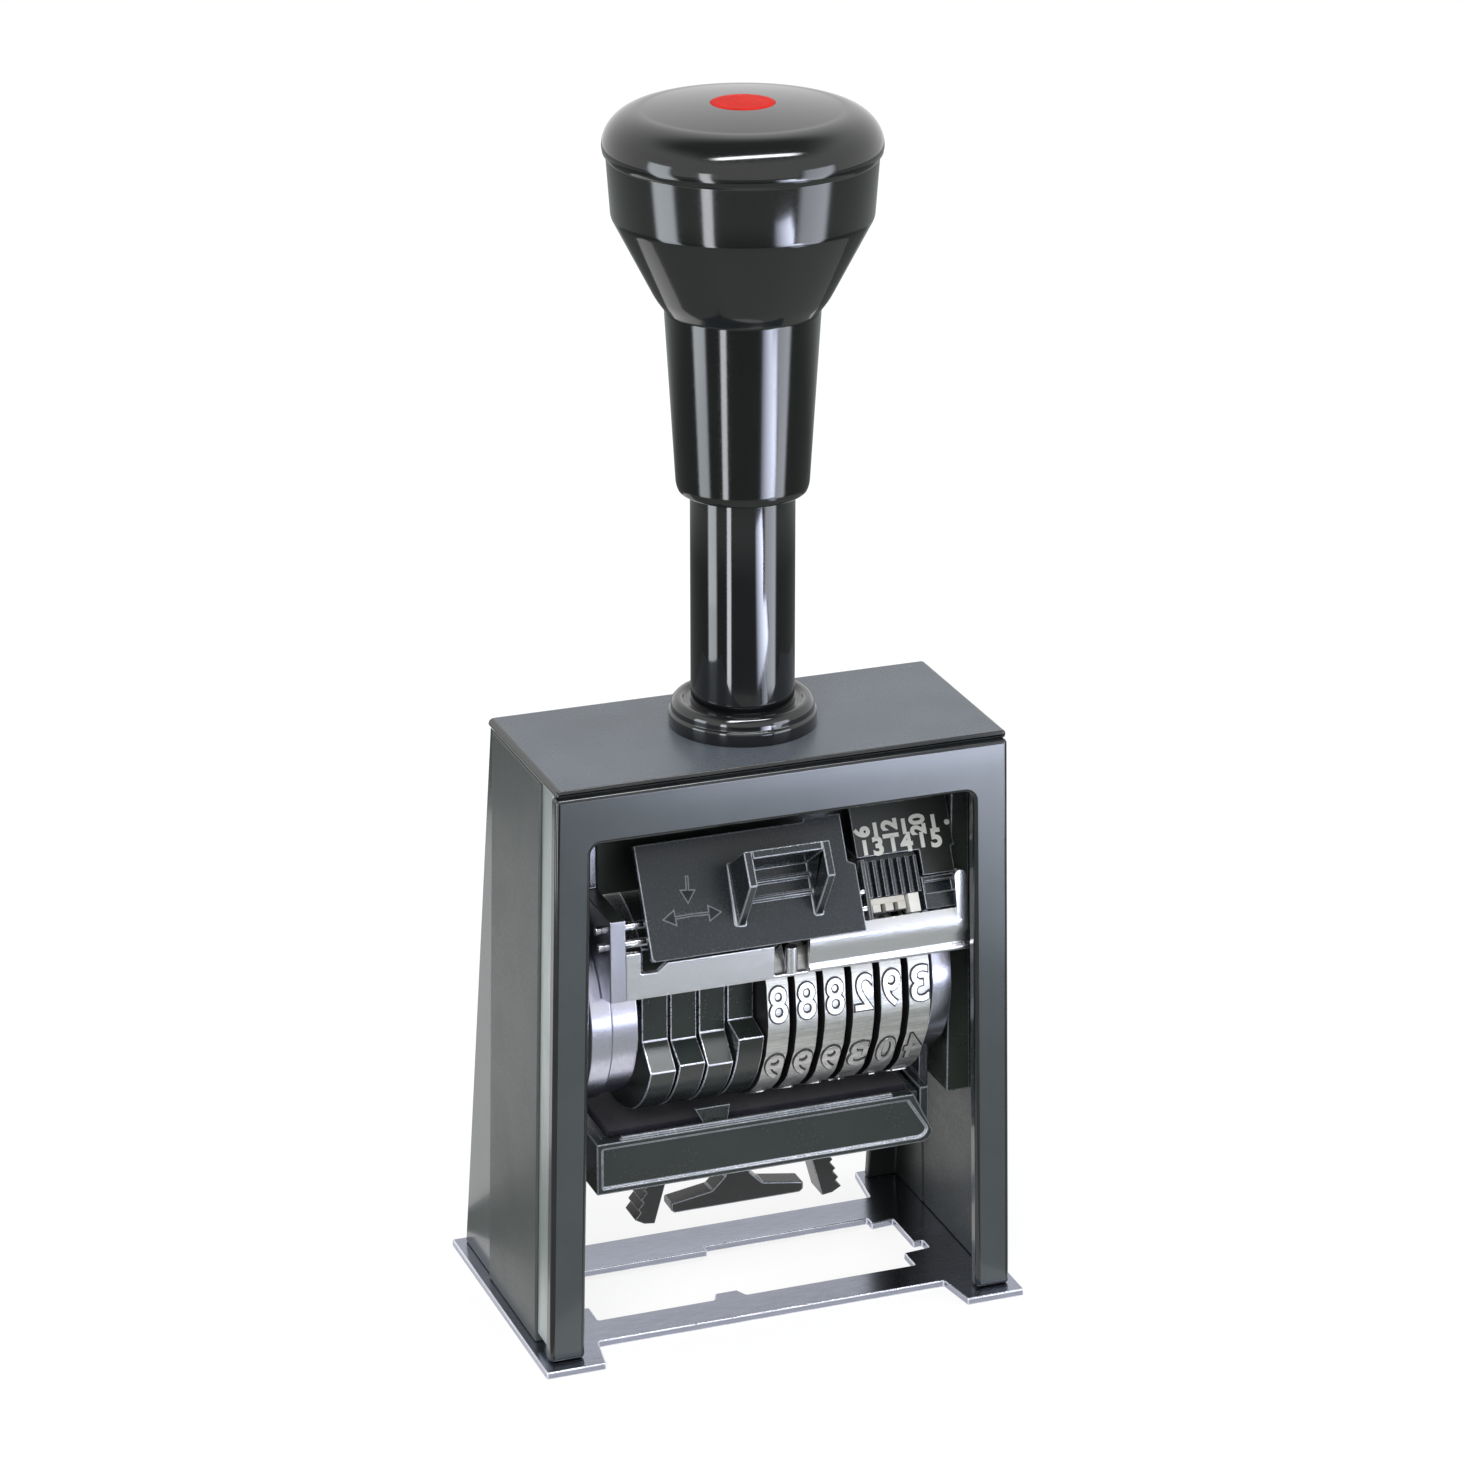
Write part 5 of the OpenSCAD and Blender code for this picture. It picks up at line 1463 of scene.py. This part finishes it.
# ------------------------------------------------------------------ studio


@dataclass
class Studio:
    """Camera, lamps, reflecting cards, floor and white surroundings."""

    azimuth: float = -20.44
    elevation: float = 20.88
    roll: float = -0.04
    distance: float = 707.6
    target: tuple[float, float, float] = (0.0, 2.30, 88.0)
    focal_pixels: float = 5048.0
    image_width: float = 1470.0
    offset: tuple[float, float] = (5.7, -33.5)
    sensor: float = 36.0
    floor_size: float = 4000.0
    table: tuple = ((208.0, 0.16), (330.0, 0.16), (400.0, 0.42), (800.0, 0.36))
    shades: tuple = (
        ("shade_left", "polar", (-130, -50), (44, 208), (0.5, 0.5), (0.30, 0.50), 0.0),
        ("shade_front", "polar", (-50, 56), (44, 208), (0.5, 0.5), (0.5, 0.5), 0.0),
        ("shade_right", "polar", (56, 125), (44, 208), (0.5, 0.5), (0.50, 0.30), 0.0),
        ("shade_above", "plane", (-620, 620), (-640, 520), (700, 700), (0.16, 0.16), 0.32),
    )
    cards: tuple = (
        ("card_left_foot", "polar", (-102, -76), (210, 292), (2, 2), (5.0, 5.0), (0.88, 0.94, 1.0)),
        ("card_left", "polar", (-102, -76), (292, 292), (2, 230), (6.0, 6.0), (0.88, 0.94, 1.0)),
        ("card_front_foot", "polar", (-55, -44), (210, 322), (2, 2), (9.0, 9.0), (0.92, 0.94, 1.0)),
        ("card_front", "polar", (-55, -44), (322, 322), (2, 200), (9.0, 9.0), (0.92, 0.94, 1.0)),
        ("card_right_foot", "polar", (24, 58), (210, 300), (2, 2), (4.0, 6.0), (0.86, 0.90, 1.0)),
        ("card_right", "polar", (24, 58), (300, 300), (2, 205), (4.0, 6.0), (0.86, 0.90, 1.0)),
        ("card_lintel", "plane", (30, 170), (-420, -206), (3, 3), (0.0, 26.0), (0.76, 0.81, 1.0)),
        ("card_post", "plane", (74, 124), (-206, -120), (2, 2), (1.6, 6.0), (0.78, 0.86, 1.0)),
        ("card_above", "plane", (-330, 270), (-280, -190), (600, 600), (28, 28), (0.95, 0.97, 1.0)),
    )
    card_border: tuple[float, float] = (0.3, 0.2)
    shade_tint: Colour = (0.95, 1.0, 0.96)
    table_tint: Colour = (0.9, 0.97, 0.94)
    card_steps: int = 24
    table_steps: int = 96
    overhead: float = 100.0
    floor_tones: tuple[float, float] = (0.25, 0.27)
    floor_glow: float = 0.80
    air: tuple[float, float] = (0.45, 1.0)
    aim: tuple[float, float, float] = (0.0, 0.0, 0.08)
    lamps: tuple = (
        ("lamp_key", (-0.55, -0.75, 0.95), 0.6, 7.2, (1.0, 0.99, 0.97)),
        ("lamp_front", (0.05, -0.95, 0.22), 0.4, 1.9, (0.97, 1.0, 0.98)),
        ("lamp_fill", (0.85, -0.35, 0.55), 0.5, 3.0, (0.86, 0.91, 1.0)),
        ("lamp_rear", (0.15, 0.75, 0.80), 0.5, 3.0, (0.95, 0.97, 1.0)),
    )

    def camera(self) -> None:
        """Sets the camera on its line of sight and makes it the scene's camera."""
        a, e, r = (math.radians(v) for v in (self.azimuth, self.elevation, self.roll))
        back = Vector((math.sin(a) * math.cos(e), -math.cos(a) * math.cos(e), math.sin(e)))
        level = Vector((math.cos(a), math.sin(a), 0.0))
        upright = back.cross(level)
        right = level * math.cos(r) + upright * math.sin(r)
        up = upright * math.cos(r) - level * math.sin(r)
        place = (Vector(self.target) + back * self.distance) * MM
        lens = bpy.data.cameras.new("camera")
        lens.sensor_fit = "HORIZONTAL"
        lens.sensor_width = self.sensor
        lens.lens = self.focal_pixels * self.sensor / self.image_width
        lens.shift_x = self.offset[0] / self.image_width
        lens.shift_y = self.offset[1] / self.image_width
        lens.clip_start = 0.01
        holder = bpy.data.objects.new("camera", lens)
        turn = Matrix((right, up, back)).transposed().to_4x4()
        holder.matrix_world = Matrix.Translation(place) @ turn
        bpy.context.scene.collection.objects.link(holder)
        bpy.context.scene.camera = holder

    def lamp(
        self, name: str, place: Sequence[float], size: float, power: float, tint: Colour
    ) -> None:
        """Adds a soft square lamp that points at the machine and stays out of its gloss.

        Args:
            name: The lamp's name.
            place: Its position in metres.
            size: Its side in metres.
            power: Its power in watts.
            tint: Its colour.
        """
        light = bpy.data.lights.new(name, "AREA")
        light.size = size
        light.energy = power
        light.color = tint
        holder = bpy.data.objects.new(name, light)
        holder.location = place
        aim = Vector(self.aim) - Vector(place)
        holder.rotation_euler = aim.to_track_quat("-Z", "Y").to_euler()
        holder.visible_glossy = False
        bpy.context.scene.collection.objects.link(holder)

    def glow(
        self, name: str, points: Points, faces: Iterable, strength: Points, tint: Colour
    ) -> None:
        """Adds a glowing sheet that only shows in the machine's gloss.

        Args:
            name: The sheet's name.
            points: Its points in millimetres.
            faces: Point numbers of its faces.
            strength: Its brightness at each point, 1 is white.
            tint: Its colour.
        """
        mesh = bpy.data.meshes.new(name)
        mesh.from_pydata((points * MM).tolist(), [], [list(f) for f in faces])
        shade = mesh.attributes.new("shade", "FLOAT", "POINT")
        shade.data.foreach_set("value", np.asarray(strength, np.float32))
        piece = placed(name, mesh, COPY_SHARP_ANGLE)
        light = bpy.data.materials.new(name)
        light.use_nodes = True
        kit = NodeKit(light.node_tree)
        kit.tree.nodes.clear()
        emission = kit.add("ShaderNodeEmission", {"Color": (*tint, 1.0)})
        shading = kit.add("ShaderNodeAttribute", attribute_name="shade")
        kit.join(shading.outputs["Fac"], emission.inputs["Strength"])
        kit.join(emission.outputs[0], kit.add("ShaderNodeOutputMaterial").inputs["Surface"])
        piece.data.materials.append(light)
        for way in ("camera", "diffuse", "shadow", "transmission"):
            setattr(piece, f"visible_{way}", False)

    def card(
        self, name: str, way: str, across: tuple, away: tuple, height: tuple, strength: tuple,
        tint: Colour, border: tuple[float, float],
    ) -> None:
        """Sets a card beside the machine.

        A card is a grid of u across and v away. It is flat, with X from the first range
        and Y from the second, or stands round the machine, with an angle from the first
        range, 0 at the front, and a radius from the second; its height goes with v. Its
        brightness goes with u and turns smoothly into the border's towards its sides, and
        overhead towards all four.

        Args:
            name: The card's name.
            way: "plane" or "polar".
            across: First range, in millimetres or degrees.
            away: Second range, in millimetres.
            height: Height at both ends of the second range.
            strength: Brightness at both ends of the first range.
            tint: Its colour.
            border: Brightness at its sides, and the share of it that the change takes.
        """
        share = np.linspace(0.0, 1.0, self.card_steps)
        u, v = (part.ravel() for part in np.meshgrid(share, share, indexing="ij"))
        first = across[0] + (across[1] - across[0]) * u
        second = away[0] + (away[1] - away[0]) * v
        z = height[0] + (height[1] - height[0]) * v
        if way == "polar":
            first, second = second * np.sin(np.radians(first)), -second * np.cos(np.radians(first))
        ramp = max(border[1], TINY)
        fade = np.clip(np.minimum(u, 1.0 - u) / ramp + TINY / ramp, 0.0, 1.0)
        if height[0] > self.overhead:
            fade = fade * np.clip(np.minimum(v, 1.0 - v) / ramp, 0.0, 1.0)
        fade = fade**2 * (3.0 - 2.0 * fade)
        light = border[0] + (strength[0] + (strength[1] - strength[0]) * u - border[0]) * fade
        faces = grid_faces(self.card_steps, self.card_steps, wrap=False)
        self.glow(name, np.column_stack([first, second, z]), faces, light, tint)

    def dark_table(self) -> None:
        """Lays a dark ring on the floor, out of the picture, for the black gloss to mirror."""
        angle = np.linspace(0.0, 2 * math.pi, self.table_steps, endpoint=False)
        radius = np.array([ring[0] for ring in self.table])[:, None]
        x, y = radius * np.cos(angle), radius * np.sin(angle)
        points = np.stack([x, y, np.full_like(x, 1.0)], axis=-1).reshape(-1, 3)
        shade = np.repeat([ring[1] for ring in self.table], self.table_steps)
        faces = grid_faces(len(self.table), self.table_steps, wrap=True)
        self.glow("table", points, faces, shade, self.table_tint)

    @staticmethod
    def seen(kit: NodeKit) -> bpy.types.NodeSocket:
        """Makes a mask that is 1 for what the camera, gloss and glass see, and else 0.

        Args:
            kit: Adds nodes to a material's or world's tree.

        Returns:
            The mask's socket.
        """
        path = kit.add("ShaderNodeLightPath").outputs
        mirrored = kit.math("MAXIMUM", path["Is Camera Ray"], path["Is Glossy Ray"])
        return kit.math("MAXIMUM", mirrored, path["Is Transmission Ray"])

    def floor(self) -> None:
        """Lays the pale floor: white to the eye and in gloss, with the machine's shadow."""
        half = self.floor_size / 2
        corners = np.array([[-half, -half, 0], [half, -half, 0], [half, half, 0], [-half, half, 0]])
        piece = solid("floor", corners, [[0, 1, 2, 3]])
        paper = bpy.data.materials.new("floor_paper")
        paper.use_nodes = True
        kit = NodeKit(paper.node_tree)
        shader = paper.node_tree.nodes["Principled BSDF"]
        place = kit.add("ShaderNodeTexCoord").outputs["Object"]
        grain = FineGrain.place(kit, place, scale=400.0, cloud=8.0)
        pale = kit.mix(grain["Tone"], *((tone,) * 3 for tone in self.floor_tones))
        kit.join(pale, shader.inputs["Base Color"])
        shader.inputs["Roughness"].default_value = 0.9
        shader.inputs["Specular IOR Level"].default_value = 0.0
        shader.inputs["Emission Color"].default_value = (1.0, 1.0, 1.0, 1.0)
        glow = kit.math("MULTIPLY", self.seen(kit), self.floor_glow)
        kit.join(glow, shader.inputs["Emission Strength"])
        piece.data.materials.append(paper)

    def surroundings(self) -> None:
        """Sets the world: white where it is seen, a soft grey where it lights."""
        world = bpy.data.worlds.new("studio_air")
        bpy.context.scene.world = world
        world.use_nodes = True
        kit = NodeKit(world.node_tree)
        kit.tree.nodes.clear()
        air = kit.add("ShaderNodeBackground", {"Color": (1.0, 1.0, 1.0, 1.0)})
        kit.join(kit.ramp(self.seen(kit), 0.0, 1.0, self.air), air.inputs["Strength"])
        kit.join(air.outputs[0], kit.add("ShaderNodeOutputWorld").inputs["Surface"])

    def build(self) -> None:
        """Sets up everything round the machine."""
        self.camera()
        self.surroundings()
        self.floor()
        self.dark_table()
        for lamp in self.lamps:
            self.lamp(*lamp)
        for *shade, share in self.shades:
            self.card(*shade, self.shade_tint, border=(1.0, share))
        for card in self.cards:
            self.card(*card, border=self.card_border)
        bpy.context.scene.view_settings.view_transform = "Standard"


def main() -> None:
    """Builds every sub-assembly and the studio."""
    logging.basicConfig(level=logging.INFO, format="%(message)s")
    slope = LeaningFrame(lean=28.0, origin=(-18.13, 59.48))
    assemblies: list[SubAssembly] = [
        Housing(), Guide(), Handle(), Carriage(slope), FigureWheels(), RepeatDrum(),
        Selector(slope), InkTray(),
    ]
    for assembly in assemblies:
        assembly.build()
    Studio().build()


if __name__ == "__main__":
    main()
